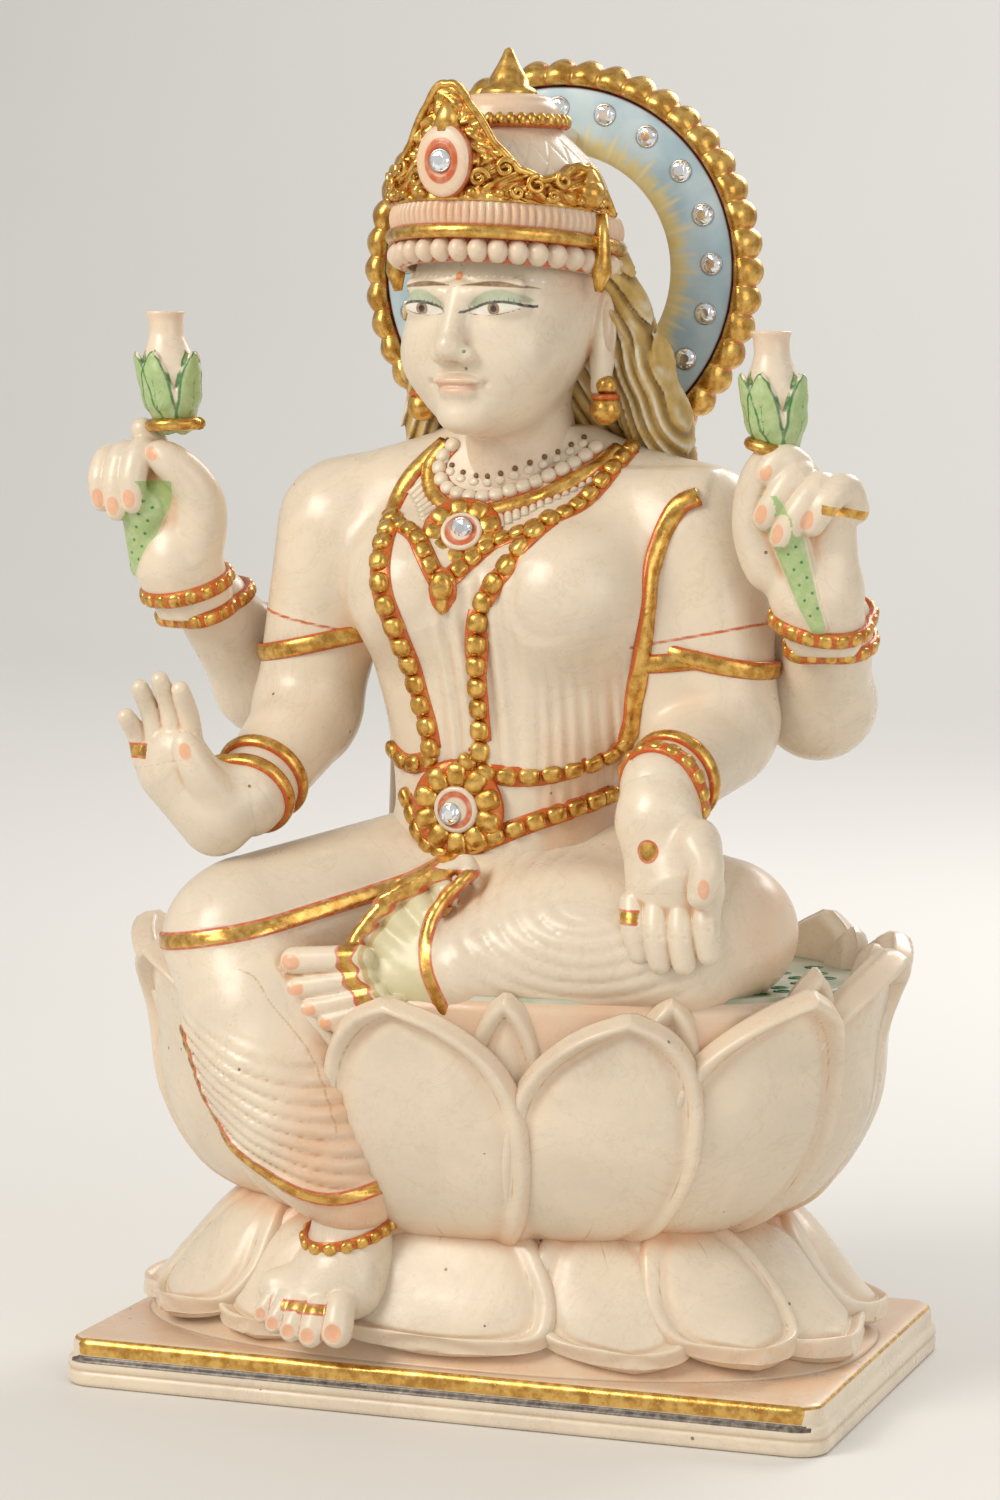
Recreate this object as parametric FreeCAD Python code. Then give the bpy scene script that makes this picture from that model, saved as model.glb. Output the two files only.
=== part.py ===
"""Seated four-armed deity figure on a double lotus, carved in white marble, with painted and gilt trim.

Millimetres, +Z up. The origin is the middle of the plinth's underside and the figure looks along -Y,
so the figure's right hand is on the -X side. Every carved element is a solid of its own. Each solid is
cut back by the neighbours already placed, so that they meet face to face.
"""

import FreeCAD
import Part

import math
import os

# ---- driving dimensions ---------------------------------------------------------------------------
OVERALL_HEIGHT = 380.0
PLINTH_X, PLINTH_Y, PLINTH_Z = 225.0, 140.0, 14.0
PLINTH_SLAB_Z = 8.0  # plain lower band; the gilt moulding stands on it
WAIST_Z = 50.0  # where the two lotuses meet
SEAT_Z = 118.0
WAIST_HALF = (76.0, 48.0)
BOWL_HALF = (102.0, 62.0)
FRONT_ANGLE = -90.0

TORSO_SECTIONS = (  # z, centre y, half width, half depth
    (132.0, 0.0, 42.0, 30.0),
    (150.0, -3.0, 37.0, 27.0),
    (168.0, -6.0, 32.0, 23.0),
    (190.0, -7.0, 35.0, 24.0),
    (212.0, -8.0, 41.0, 26.0),
    (230.0, -7.0, 47.0, 27.0),
    (246.0, -2.0, 52.0, 22.0),
    (257.0, 2.0, 48.0, 17.0),
    (266.0, 4.0, 26.0, 14.0),
)
BUST = dict(x=21.0, y=-20.0, z=226.0, radius=20.0)
NECK_RADIUS = 16.5
HEAD_CENTRE = (0.0, -14.0, 306.0)
HEAD_RADII = (27.0, 31.0, 33.0)
BROW_Z = 319.0
CAP_TOP_Z = 362.0

HALO_CENTRE = (0.0, 36.0, 318.5)
HALO_INNER, HALO_BAND, HALO_OUTER = 34.0, 53.0, 61.5
HALO_THICKNESS = 8.0
HALO_SCALLOPS = 44
HALO_STONES = 17
STONE_RADIUS = 2.9

SHOULDER = (56.0, 2.0, 245.0)  # mirrored in x for the right side, as are the other arm points
ELBOW = (64.0, -2.0, 190.0)
REAR_SHOULDER = (52.0, 16.0, 226.0)
REAR_ELBOW = (84.0, 19.0, 195.0)
REAR_WRIST = (94.0, -3.0, 219.0)
REAR_PALM = (95.0, -8.0, 241.0)
BUD_BASE = (87.0, -11.0, 261.0)
BUD_HEIGHT = 42.0
RIGHT_WRIST = (-66.0, -43.0, 168.0)
LEFT_WRIST = (56.0, -41.0, 176.0)

RIGHT_HIP, RIGHT_KNEE = (-24.0, -6.0, 140.0), (-69.0, -45.0, 128.0)
RIGHT_ANKLE = (-28.0, -54.0, 60.0)
LEFT_HIP, LEFT_KNEE = (26.0, -4.0, 140.0), (66.0, -26.0, 134.0)
LEFT_ANKLE = (-12.0, -48.0, 131.0)

SLIVER_VOLUME = 1.0  # a cut piece smaller than this, in mm3, is left out
placed = {}


# ---- basic solids ----------------------------------------------------------------------------------
def vec(p):
    return FreeCAD.Vector(*p)


def on_side(point, side):
    """The point as given for the left side, or mirrored in x for the right."""
    return (side * point[0], point[1], point[2])


def ellipsoid(centre, radii):
    scale = FreeCAD.Matrix()
    scale.scale(*radii)
    solid = Part.makeSphere(1.0).transformGeometry(scale)
    solid.translate(vec(centre))
    return solid


def capsule(start, end, start_radius, end_radius):
    """A round-ended cone between two points, turned from one closed profile."""
    a, b = vec(start), vec(end)
    length = (b - a).Length
    slope = max(-0.95, min(0.95, (start_radius - end_radius) / length))
    tangent_angle = math.acos(slope)

    def on_sphere(x, radius, angle):
        return FreeCAD.Vector(x + radius * math.cos(angle), radius * math.sin(angle), 0)

    first = on_sphere(0, start_radius, tangent_angle)
    second = on_sphere(length, end_radius, tangent_angle)
    tail, tip = FreeCAD.Vector(-start_radius, 0, 0), FreeCAD.Vector(length + end_radius, 0, 0)
    edges = [
        Part.Arc(tail, on_sphere(0, start_radius, (math.pi + tangent_angle) / 2), first).toShape(),
        Part.makeLine(first, second),
        Part.Arc(second, on_sphere(length, end_radius, tangent_angle / 2), tip).toShape(),
        Part.makeLine(tip, tail),
    ]
    profile = Part.Face(Part.Wire(edges))
    solid = profile.revolve(FreeCAD.Vector(0, 0, 0), FreeCAD.Vector(1, 0, 0), 360)
    solid.Placement = FreeCAD.Placement(a, FreeCAD.Rotation(FreeCAD.Vector(1, 0, 0), b - a))
    return solid


def ellipse_wire(centre, along_major, normal, major, minor):
    """An ellipse standing on normal, with its first half size along along_major."""
    axis = vec(along_major).normalize()
    across = vec(normal).cross(axis).normalize()
    if minor > major:
        axis, across, major, minor = across, axis, minor, major
    c = vec(centre)
    return Part.Wire(Part.Ellipse(c + axis * major, c + across * minor, c).toShape())


def level_loft(sections):
    """A smooth solid through level ellipses: (z, centre x, centre y, half x, half y)."""
    wires = [ellipse_wire((x, y, z), (1, 0, 0), (0, 0, 1), hx, hy) for z, x, y, hx, hy in sections]
    return Part.makeLoft(wires, True, False)


def place(node, solids, against=(), keep_all=False):
    """Stores a node's solids, cut back by the nodes named in against.

    Only the largest piece is kept, unless keep_all says that the node is a group."""
    shape = Part.makeCompound(solids) if isinstance(solids, list) else solids
    for name in against:
        if shape.BoundBox.intersect(placed[name].BoundBox):
            shape = shape.cut(placed[name])
    pieces = [s for s in shape.Solids if s.Volume > SLIVER_VOLUME]
    if not keep_all:
        pieces = [max(pieces, key=lambda s: s.Volume)]
    placed[node] = Part.makeCompound(pieces) if len(pieces) > 1 else pieces[0]


# ---- plinth ----------------------------------------------------------------------------------------
def slab(size_x, size_y, low, high, corner):
    box = Part.makeBox(size_x, size_y, high - low, FreeCAD.Vector(-size_x / 2, -size_y / 2, low))
    upright = [e for e in box.Edges if abs(e.Vertexes[0].Z - e.Vertexes[1].Z) > 1.0]
    return box.makeFillet(corner, upright)


def make_plinth():
    lower = slab(PLINTH_X, PLINTH_Y, 0.0, PLINTH_SLAB_Z, 9.0)
    upper = slab(PLINTH_X - 3.0, PLINTH_Y - 3.0, PLINTH_SLAB_Z, PLINTH_Z, 8.0)
    top_edges = [e for e in upper.Edges if min(v.Z for v in e.Vertexes) > PLINTH_Z - 0.1]
    place("plinth", lower.fuse(upper.makeFillet(2.2, top_edges)).removeSplitter())


# ---- legs and drapery ------------------------------------------------------------------------------
def make_legs():
    place("leg_right_thigh", capsule(RIGHT_HIP, RIGHT_KNEE, 25.0, 21.5))
    place("leg_right_shin", capsule(RIGHT_KNEE, RIGHT_ANKLE, 21.0, 13.0), ["leg_right_thigh"])
    place("leg_left_thigh", capsule(LEFT_HIP, LEFT_KNEE, 25.0, 19.0), ["leg_right_thigh"])
    place(
        "leg_left_shin",
        capsule(LEFT_KNEE, LEFT_ANKLE, 18.0, 11.0),
        ["leg_left_thigh", "leg_right_thigh", "leg_right_shin"],
    )
    foot = capsule((-31.0, -53.0, 44.0), (-37.0, -59.0, 31.0), 10.5, 7.0)
    toes = []
    for i in range(5):
        toes.append(capsule((-30.0 - 4.4 * i, -60.0, 30.0), (-29.0 - 4.8 * i, -65.5 + i, 26.0), 3.0, 2.6))
    place("foot_right", foot.fuse(toes), ["leg_right_shin"])
    sole = capsule((-24.0, -55.0, 131.0), (-34.0, -62.0, 126.0), 9.0, 6.5)
    tips = []
    for i in range(5):
        tips.append(capsule((-35.0, -66.0, 131.0 - 4.0 * i), (-42.0 + i, -67.0, 130.0 - 4.2 * i), 2.6, 2.2))
    place("foot_left", sole.fuse(tips), ["leg_left_shin", "leg_right_shin", "leg_right_thigh"])


def make_drapery():
    legs = ["leg_right_thigh", "leg_right_shin", "leg_left_thigh", "leg_left_shin", "foot_left"]
    sash = level_loft(
        [
            (112.0, 2.0, -61.0, 9.0, 5.0),
            (130.0, 0.0, -54.0, 11.0, 7.0),
            (148.0, -2.0, -38.0, 6.0, 6.0),
        ]
    )
    place("sash", sash, legs + ["seed_pod", "lotus_bowl", "torso"])
    lap = ellipsoid((0.0, -2.0, 133.0), (62.0, 44.0, 17.0))
    place("lap_drape", lap, legs + ["seed_pod", "lotus_bowl", "torso", "sash"])
    back = level_loft(
        [
            (SEAT_Z, 0, 26.0, 62.0, 20.0),
            (150.0, 0, 24.0, 50.0, 17.0),
            (200.0, 0, 16.0, 44.0, 14.0),
            (250.0, 0, 14.0, 44.0, 12.0),
        ]
    )
    place("back_drape", back, legs[:4] + ["torso", "lap_drape"])


# ---- lotus -----------------------------------------------------------------------------------------
LOWER_PROFILE = (  # half size in x, half size in y, z, half width, half thickness
    (78.0, 49.0, 45.0, 16.0, 3.5),
    (88.0, 54.5, 38.0, 23.0, 5.0),
    (98.0, 59.0, 29.0, 27.0, 5.0),
    (106.0, 63.0, 21.0, 20.0, 4.5),
    (110.0, 65.5, 18.0, 7.0, 3.0),
)
UPPER_PROFILE = (
    (80.0, 51.0, 56.0, 17.0, 4.0),
    (94.0, 58.0, 66.0, 24.0, 5.0),
    (104.0, 64.0, 84.0, 27.0, 5.5),
    (108.0, 66.5, 104.0, 23.0, 4.5),
    (111.0, 68.0, 119.0, 13.0, 3.5),
    (113.0, 69.0, 125.0, 5.0, 2.0),
)
LOWER_GROUPS = {  # petals by their angle from the front, in degrees
    "lower_petals_front": (0.0, 25.0, -25.0),
    "lower_petals_left": (50.0, 78.0, 108.0),
    "lower_petals_right": (-50.0, -78.0, -108.0),
    "lower_petals_back": (134.0, -134.0, 157.0, -157.0, 180.0),
}
UPPER_GROUPS = {
    "upper_petal_front": (0.0,),
    "upper_petal_front_left": (25.0,),
    "upper_petal_front_right": (-25.0,),
    "upper_petal_corner_left": (50.0,),
    "upper_petal_corner_right": (-50.0,),
    "upper_petals_side_left": (78.0, 108.0),
    "upper_petals_side_right": (-78.0, -108.0),
    "upper_petals_back": (134.0, -134.0, 157.0, -157.0, 180.0),
}
PETAL_OFFSETS = (-157, -134, -108, -78, -50, -25, 0, 25, 50, 78, 108, 134, 157, 180)


def lotus_point(offset, half_x, half_y, z, squareness=1.0):
    """A point on the lotus's plan, a fuller curve than an ellipse when squareness is below 1."""
    a = math.radians(FRONT_ANGLE + offset)
    x = math.copysign(abs(math.cos(a)) ** squareness, math.cos(a))
    y = math.copysign(abs(math.sin(a)) ** squareness, math.sin(a))
    return FreeCAD.Vector(half_x * x, half_y * y, z)


def petal_room(offset):
    """The wedge that one petal may fill, from half way to one neighbour to half way to the other."""
    i = PETAL_OFFSETS.index(offset)
    before, after = PETAL_OFFSETS[i - 1], PETAL_OFFSETS[(i + 1) % len(PETAL_OFFSETS)]
    low = offset - ((offset - before) % 360.0) / 2
    high = offset + ((after - offset) % 360.0) / 2
    far_low, far_high = (lotus_point(turn, 320.0, 200.0, 0) for turn in (low, high))
    corners = [FreeCAD.Vector(0, 0, 0), far_low, far_high]
    return Part.Face(Part.makePolygon(corners + corners[:1])).extrude(FreeCAD.Vector(0, 0, 140.0))


def petal(offset, profile, squareness):
    """A leaf-shaped solid whose spine climbs the lotus at one angle from the front."""
    a = math.radians(FRONT_ANGLE + offset)
    sideways = FreeCAD.Vector(-math.sin(a) * 1.3, math.cos(a), 0).normalize()
    spine = [lotus_point(offset, hx, hy, z, squareness) for hx, hy, z, _, _ in profile]
    wires = []
    for i, (_, _, _, half_width, half_thickness) in enumerate(profile):
        along = (spine[min(i + 1, len(spine) - 1)] - spine[max(i - 1, 0)]).normalize()
        flat = (sideways - along * sideways.dot(along)).normalize()
        wires.append(ellipse_wire(spine[i], flat, along, half_width, half_thickness))
    return Part.makeLoft(wires, True, False).common(petal_room(offset))


def make_petals(groups, profile, squareness, against):
    for node, offsets in groups.items():
        leaves = [petal(offset, profile, squareness) for offset in offsets]
        place(node, leaves, against, len(offsets) > 1)


def make_lotus():
    leg = ["leg_right_shin", "foot_right"]
    foot = level_loft(
        [
            (PLINTH_Z, 0, 0, 104.0, 62.0),
            (26.0, 0, 0, 96.0, 57.0),
            (38.0, 0, 0, 83.0, 50.0),
            (WAIST_Z, 0, 0, WAIST_HALF[0] - 4.0, WAIST_HALF[1] - 4.0),
        ]
    )
    place("lotus_foot", foot, leg)
    bowl = level_loft(
        [
            (WAIST_Z, 0, 0, WAIST_HALF[0] - 2.0, WAIST_HALF[1] - 2.0),
            (66.0, 0, 0, 90.0, 55.0),
            (88.0, 0, 0, BOWL_HALF[0], BOWL_HALF[1]),
            (106.0, 0, 0, BOWL_HALF[0] + 2.0, BOWL_HALF[1] + 1.0),
            (SEAT_Z - 3.0, 0, 0, BOWL_HALF[0], BOWL_HALF[1]),
        ]
    )
    seated = ["leg_right_thigh", "leg_right_shin", "leg_left_thigh", "leg_left_shin", "foot_left"]
    place("lotus_bowl", bowl, seated)
    pod = level_loft([(SEAT_Z - 3.0, 0, 0, 96.0, 58.0), (SEAT_Z, 0, 0, 95.0, 57.0)])
    place("seed_pod", pod, seated)
    make_petals(LOWER_GROUPS, LOWER_PROFILE, 0.75, ["plinth", "lotus_foot"] + leg)
    make_petals(UPPER_GROUPS, UPPER_PROFILE, 0.95, ["lotus_bowl", "lotus_foot"] + seated)


# ---- torso, head and crown -------------------------------------------------------------------------
def torso_front_y(x, z):
    """The y of the torso's front at a place on the chest, breasts included."""
    low = max((s for s in TORSO_SECTIONS if s[0] <= z), key=lambda s: s[0])
    high = min((s for s in TORSO_SECTIONS if s[0] >= z), key=lambda s: s[0])
    share = 0.0 if high[0] == low[0] else (z - low[0]) / (high[0] - low[0])
    _, y, half_x, half_y = (a + (b - a) * share for a, b in zip(low, high))
    front = y - half_y * math.sqrt(max(0.0, 1.0 - (x / half_x) ** 2))
    span = BUST["radius"] ** 2 - (abs(x) - BUST["x"]) ** 2 - (z - BUST["z"]) ** 2
    return min(front, BUST["y"] - math.sqrt(span)) if span > 0 else front


def make_torso_and_head():
    torso = level_loft([(z, 0, y, hx, hy) for z, y, hx, hy in TORSO_SECTIONS])
    breasts = [Part.makeSphere(BUST["radius"], vec((s * BUST["x"], BUST["y"], BUST["z"]))) for s in (-1, 1)]
    place("torso", torso.fuse(breasts), ["leg_right_thigh", "leg_left_thigh"])
    x, y, z = HEAD_CENTRE
    skull = ellipsoid(HEAD_CENTRE, HEAD_RADII)
    features = [
        capsule((x, y - 8.0, z - 14.0), (x, y - 10.0, z - 20.0), 17.0, 13.5),
        capsule((x, y - 29.0, z + 6.0), (x, y - 33.5, z - 8.0), 2.5, 4.0),
        capsule((x - 27.0, y + 9.0, z + 2.0), (x - 28.0, y + 9.0, z - 14.0), 5.0, 4.0),
        capsule((x + 27.0, y + 9.0, z + 2.0), (x + 28.0, y + 9.0, z - 14.0), 5.0, 4.0),
    ]
    place("head", [skull] + [feature.cut(skull) for feature in features], keep_all=True)
    place("neck", Part.makeCylinder(NECK_RADIUS, 30.0, FreeCAD.Vector(0, -1, 258.0)), ["torso", "head"])
    earrings = []
    for side in (-1, 1):
        earrings.append(Part.makeSphere(3.2, vec((side * 29.0, y + 7.0, z - 20.0))))
        earrings.append(Part.makeSphere(4.2, vec((side * 29.0, y + 7.0, z - 27.6))))
    place("earrings", earrings, ["head", "neck"], keep_all=True)


def crown_crest(x, y):
    """The crest of the crown: a curved wall cut to an ogee outline with one central peak."""
    rise = [(-26, 13), (-18, 18), (-10, 26), (0, 34), (10, 26), (18, 18), (26, 13)]
    curve = Part.BSplineCurve()
    curve.interpolate([FreeCAD.Vector(x + u, y - 60.0, BROW_Z + v) for u, v in rise])
    low_left = FreeCAD.Vector(x - 31, y - 60.0, BROW_Z + 2)
    low_right = FreeCAD.Vector(x + 31, y - 60.0, BROW_Z + 2)
    knob_left, knob_right = low_left + FreeCAD.Vector(0, 0, 14), low_right + FreeCAD.Vector(0, 0, 14)
    edges = [
        curve.toShape(),
        Part.makeLine(curve.EndPoint, knob_right),
        Part.makeLine(knob_right, low_right),
        Part.makeLine(low_right, low_left),
        Part.makeLine(low_left, knob_left),
        Part.makeLine(knob_left, curve.StartPoint),
    ]
    wall = Part.Face(Part.Wire(edges)).extrude(FreeCAD.Vector(0, 58.0, 0))
    outer = level_loft([(BROW_Z, x, y, 34.0, 38.0), (BROW_Z + 40.0, x, y, 33.0, 37.0)])
    inner = level_loft([(BROW_Z - 1, x, y, 29.5, 33.5), (BROW_Z + 41.0, x, y, 28.5, 32.5)])
    return wall.common(outer.cut(inner))


def make_crown_and_hair():
    x, y, _ = HEAD_CENTRE
    cap = level_loft(
        [
            (BROW_Z, x, y, 28.6, 32.6),
            (334.0, x, y, 28.0, 31.5),
            (346.0, x, y, 24.0, 26.0),
            (354.0, x, y, 18.0, 19.0),
            (CAP_TOP_Z, x, y, 14.0, 14.5),
        ]
    )
    place("crown_cap", cap, ["head"])
    band = level_loft([(BROW_Z - 2.0, x, y, 32.0, 36.0), (BROW_Z + 12.0, x, y, 32.0, 36.0)])
    place("crown_band", band, ["head", "crown_cap"])
    crest = crown_crest(x, y)
    for side in (-1, 1):
        crest = crest.fuse(capsule((side * 29.0, y, 333.0), (side * 29.0, y - 2.0, 345.0), 5.0, 2.2))
    place("crown_crest", crest, ["crown_band", "crown_cap"])
    place("topknot_band", Part.makeTorus(15.5, 2.6, vec((x, y, 357.0))), ["crown_cap"])
    finial = capsule((x, y, CAP_TOP_Z + 3.0), (x, y, OVERALL_HEIGHT - 2.4), 6.0, 2.4)
    place("crown_finial", finial, ["crown_cap"])
    medallion = Part.makeCylinder(7.5, 5.0, vec((x, y - 36.0, 342.0)), FreeCAD.Vector(0, -1, 0))
    place("crown_medallion", medallion, ["crown_crest"])
    hair = level_loft(
        [
            (262.0, 0, 24.0, 42.0, 12.0),
            (275.0, 0, 20.0, 38.0, 14.0),
            (292.0, 0, 12.0, 32.0, 19.0),
            (308.0, 0, 6.0, 28.5, 23.0),
            (BROW_Z - 2.0, 0, 2.0, 28.0, 22.0),
        ]
    )
    place("hair", hair, ["head", "neck", "torso", "earrings", "back_drape"])


# ---- halo ------------------------------------------------------------------------------------------
def make_halo():
    x, y, z = HALO_CENTRE
    front_y = y - HALO_THICKNESS / 2
    back = FreeCAD.Vector(0, 1, 0)
    middle = FreeCAD.Vector(x, front_y, z)

    def disc(radius):
        return Part.makeCylinder(radius, HALO_THICKNESS, middle, back)

    def at(angle, radius):
        return FreeCAD.Vector(x + radius * math.cos(angle), front_y, z + radius * math.sin(angle))

    bridge = Part.makeBox(12.0, 26.0, 8.0, FreeCAD.Vector(-6.0, front_y - 26.0, z + HALO_INNER + 1.0))
    ring = disc(HALO_BAND).cut(disc(HALO_INNER)).fuse(bridge)
    place("halo_ring", ring, ["hair", "crown_cap", "topknot_band"])
    step = 2 * math.pi / HALO_SCALLOPS
    valley = HALO_OUTER - 1.6
    arcs = []
    for i in range(HALO_SCALLOPS):
        start, end = i * step, (i + 1) * step
        crest = at((start + end) / 2, HALO_OUTER)
        arcs.append(Part.Arc(at(start, valley), crest, at(end, valley)).toShape())
    rim = Part.Face(Part.Wire(arcs)).extrude(FreeCAD.Vector(0, HALO_THICKNESS, 0))
    place("halo_rim", rim.cut(disc(HALO_BAND)), ["hair"])
    stones = []
    for i in range(HALO_STONES):
        seat = at(math.radians(-50.0 + 280.0 * i / (HALO_STONES - 1)), HALO_BAND - 6.0)
        stones.append(faceted_stone(seat, STONE_RADIUS))
    place("halo_stones", stones, keep_all=True)


def faceted_stone(seat, radius):
    """A flat-backed cut stone facing -Y: a short girdle and a cone up to its table."""
    forward = FreeCAD.Vector(0, -1, 0)
    girdle = Part.makeCylinder(radius, radius * 0.2, seat, forward)
    top = seat + forward * (radius * 0.2)
    return girdle.fuse(Part.makeCone(radius, radius * 0.55, radius * 0.45, top, forward))


# ---- jewellery -------------------------------------------------------------------------------------
def bead(x, z, radius):
    """A round bead on the chest, cut flat behind."""
    centre = vec((x, torso_front_y(x, z) - 0.2 * radius, z))
    return Part.makeSphere(radius, centre, FreeCAD.Vector(0, -1, 0), -30.0, 90.0, 360.0)


def make_jewellery():
    collar = []
    for i in range(17):
        a = math.radians(180.0 + 180.0 * i / 16)
        x, z = 24.0 * math.cos(a), 264.0 + 14.0 * math.sin(a)
        collar.append(bead(x, min(z, 261.0), 1.8))
    pendant_y, drop_y = torso_front_y(0, 242.0), torso_front_y(0, 228.0)
    forward = FreeCAD.Vector(0, -1, 0)
    pendant = Part.makeCylinder(9.0, 8.0, vec((0, pendant_y + 4.0, 240.0)), forward).cut(placed["torso"])
    drop = capsule((0, drop_y, 227.5), (0, drop_y, 222.5), 3.4, 1.8)
    place("necklace", collar + [pendant, drop], keep_all=True)
    strands = []
    for i in range(12):
        t = i / 11.0
        x = 25.2 - 13.0 * math.sin(t * math.pi / 2)
        strands += [bead(side * x, 242.4 - 66.0 * t, 3.0) for side in (-1, 1)]
    place("garland", strands, keep_all=True)
    clasp_y = torso_front_y(0, 166.0)
    clasp = Part.makeCylinder(11.0, 8.0, vec((0, clasp_y + 3.0, 166.0)), FreeCAD.Vector(0, -1, 0))
    place("belt_clasp", clasp, ["torso"])
    belt = []
    for side in (-1, 1):
        for i in range(5):
            x = 13.5 + 4.2 * i
            belt.append(bead(side * x, 172.0 - 11.0 * math.sqrt(1.0 - (x / 34.0) ** 2), 2.0))
    place("waist_belt", belt, keep_all=True)
    seats = [
        (0, HEAD_CENTRE[1] - 41.0, 342.0),
        (0, pendant_y - 4.0, 240.0),
        (0, clasp_y - 5.0, 166.0),
    ]
    place("jewel_stones", [faceted_stone(vec(seat), STONE_RADIUS) for seat in seats], keep_all=True)


# ---- arms and hands --------------------------------------------------------------------------------
def hand(palm_start, palm_end, side_axis, half_width, finger_vector, thumb):
    """A palm and four straight fingers side by side, with a thumb given as two points."""
    a, b, side = vec(palm_start), vec(palm_end), vec(side_axis).normalize()
    reach = (b - a).normalize()
    wires = []
    for share, width, depth in ((0.0, 0.7, 5.6), (0.45, 1.0, 6.6), (1.0, 0.95, 5.0)):
        centre = tuple(a + (b - a) * share)
        wires.append(ellipse_wire(centre, tuple(side), tuple(reach), half_width * width, depth))
    palm = Part.makeLoft(wires, True, False)
    pitch = half_width * 0.49
    fingers = []
    for i, length_share in enumerate((0.86, 1.0, 0.95, 0.78)):
        root = b + side * (pitch * (i - 1.5)) - reach * 3.0
        tip = root + vec(finger_vector) * length_share
        fingers.append(capsule(tuple(root), tuple(tip), pitch * 0.53, pitch * 0.46))
    fingers.append(capsule(thumb[0], thumb[1], 4.2, 3.4))
    return palm.fuse(fingers)


def make_arms():
    body = ["torso", "back_drape"]
    thighs = ["leg_right_thigh", "leg_left_thigh", "leg_right_shin", "leg_left_shin"]
    for side, name in ((-1, "right"), (1, "left")):
        wrist = LEFT_WRIST if side == 1 else RIGHT_WRIST
        upper, fore, rear = "upper_arm_" + name, "forearm_" + name, "rear_arm_" + name
        place(upper, capsule(on_side(SHOULDER, side), on_side(ELBOW, side), 19.0, 15.5), body + ["hair"])
        bend = on_side((ELBOW[0], ELBOW[1] - 6.0, ELBOW[2] - 1.0), side)
        place(fore, capsule(bend, wrist, 14.5, 11.0), [upper] + thighs[:2] + ["torso", "lap_drape"])
        raised = capsule(on_side(REAR_SHOULDER, side), on_side(REAR_ELBOW, side), 16.0, 14.5)
        raised = raised.fuse(capsule(on_side(REAR_ELBOW, side), on_side(REAR_WRIST, side), 13.5, 11.0))
        place(rear, raised, body + [upper, fore])
        palm_root = on_side((94.5, -5.0, 224.0), side)
        thumb = (on_side((84.0, -12.0, 236.0), side), on_side((87.0, -13.0, 254.0), side))
        curled = (-side * 5.0, -5.0, 22.0)
        grip = hand(palm_root, on_side(REAR_PALM, side), (side, 0.2, 0), 13.0, curled, thumb)
        place("rear_hand_" + name, grip, [rear])
        x, y, z = on_side(BUD_BASE, side)
        bulges = ((0.0, 6.0), (0.25, 7.5), (0.52, 10.5), (0.74, 6.5), (1.0, 5.5))
        bud = level_loft([(z + BUD_HEIGHT * share, x, y, radius, radius) for share, radius in bulges])
        place("lotus_bud_" + name, bud, ["rear_hand_" + name])
    blessing = hand((-67.0, -48.0, 158.0), (-77.0, -50.0, 181.0), (1, 0, 0.4), 11.5,
                    (-9.0, -1.0, 22.0), ((-68.0, -52.0, 168.0), (-72.0, -56.0, 186.0)))
    place("hand_right", blessing, ["forearm_right"] + thighs)
    giving = hand((56.0, -48.0, 172.0), (61.0, -54.0, 152.0), (1, -0.1, 0.3), 11.5,
                  (6.0, -2.0, -21.0), ((68.0, -52.0, 163.0), (73.0, -57.0, 152.0)))
    place("hand_left", giving, ["forearm_left"] + thighs)


def ring_round(start, end, share, ring_radius, bar_radius):
    """A bangle: a torus square to the limb from start to end, at a share of its length."""
    a, b = vec(start), vec(end)
    return Part.makeTorus(ring_radius, bar_radius, a + (b - a) * share, b - a)


def make_bangles():
    bangles = []
    for side, wrist in ((-1, RIGHT_WRIST), (1, LEFT_WRIST)):
        rear_elbow, rear_wrist = on_side(REAR_ELBOW, side), on_side(REAR_WRIST, side)
        bangles += [ring_round(rear_elbow, rear_wrist, share, 12.6, 1.9) for share in (0.92, 1.10)]
        elbow = on_side((ELBOW[0], ELBOW[1] - 6.0, ELBOW[2] - 1.0), side)
        bangles += [ring_round(elbow, wrist, share, 12.8, 1.9) for share in (0.80, 0.96)]
    kinds = ("forearm", "rear_arm", "rear_hand", "hand")
    limbs = [kind + "_" + name for kind in kinds for name in ("right", "left")]
    place("bangles", bangles, limbs, keep_all=True)
    armlets = [ring_round(on_side(SHOULDER, s), on_side(ELBOW, s), 0.66, 17.4, 2.0) for s in (-1, 1)]
    upper = ["upper_arm_right", "upper_arm_left", "torso", "rear_arm_right", "rear_arm_left"]
    place("armlets", armlets, upper, keep_all=True)
    anklet = ring_round(RIGHT_KNEE, RIGHT_ANKLE, 1.04, 13.2, 2.4)
    place("anklet", anklet, ["leg_right_shin", "foot_right", "lotus_foot", "lotus_bowl"] + list(LOWER_GROUPS)[:1])


def main():
    make_plinth()
    make_legs()
    make_lotus()
    make_torso_and_head()
    make_drapery()
    make_crown_and_hair()
    make_halo()
    make_jewellery()
    make_arms()
    make_bangles()
    os.makedirs("parts", exist_ok=True)
    for node, shape in placed.items():
        shape.exportStep(os.path.join("parts", node + ".step"))
        print("%-24s solids %2d  valid %s  %9.0f mm3" % (node, len(shape.Solids), shape.isValid(), shape.Volume))
    print(len(placed), "nodes")


main()
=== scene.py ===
"""Looks of the marble deity statue: carved stone, gold paint, colour washes with painted shade in the
hollows, painted highlights and shade on the hair, and glass stones.

Everything is modelled in millimetres in the frame's own axes: +Z up, the figure looks along -Y, and the
figure's right hand is on the -X side. Carved pieces are shaped as signed distances on a grid, as a
sculptor would add and cut clay, and are then turned into meshes. What is painted on them is stored as
vertex attributes: millimetres inside a painted mark, positive inside it.
"""

import math

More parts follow.
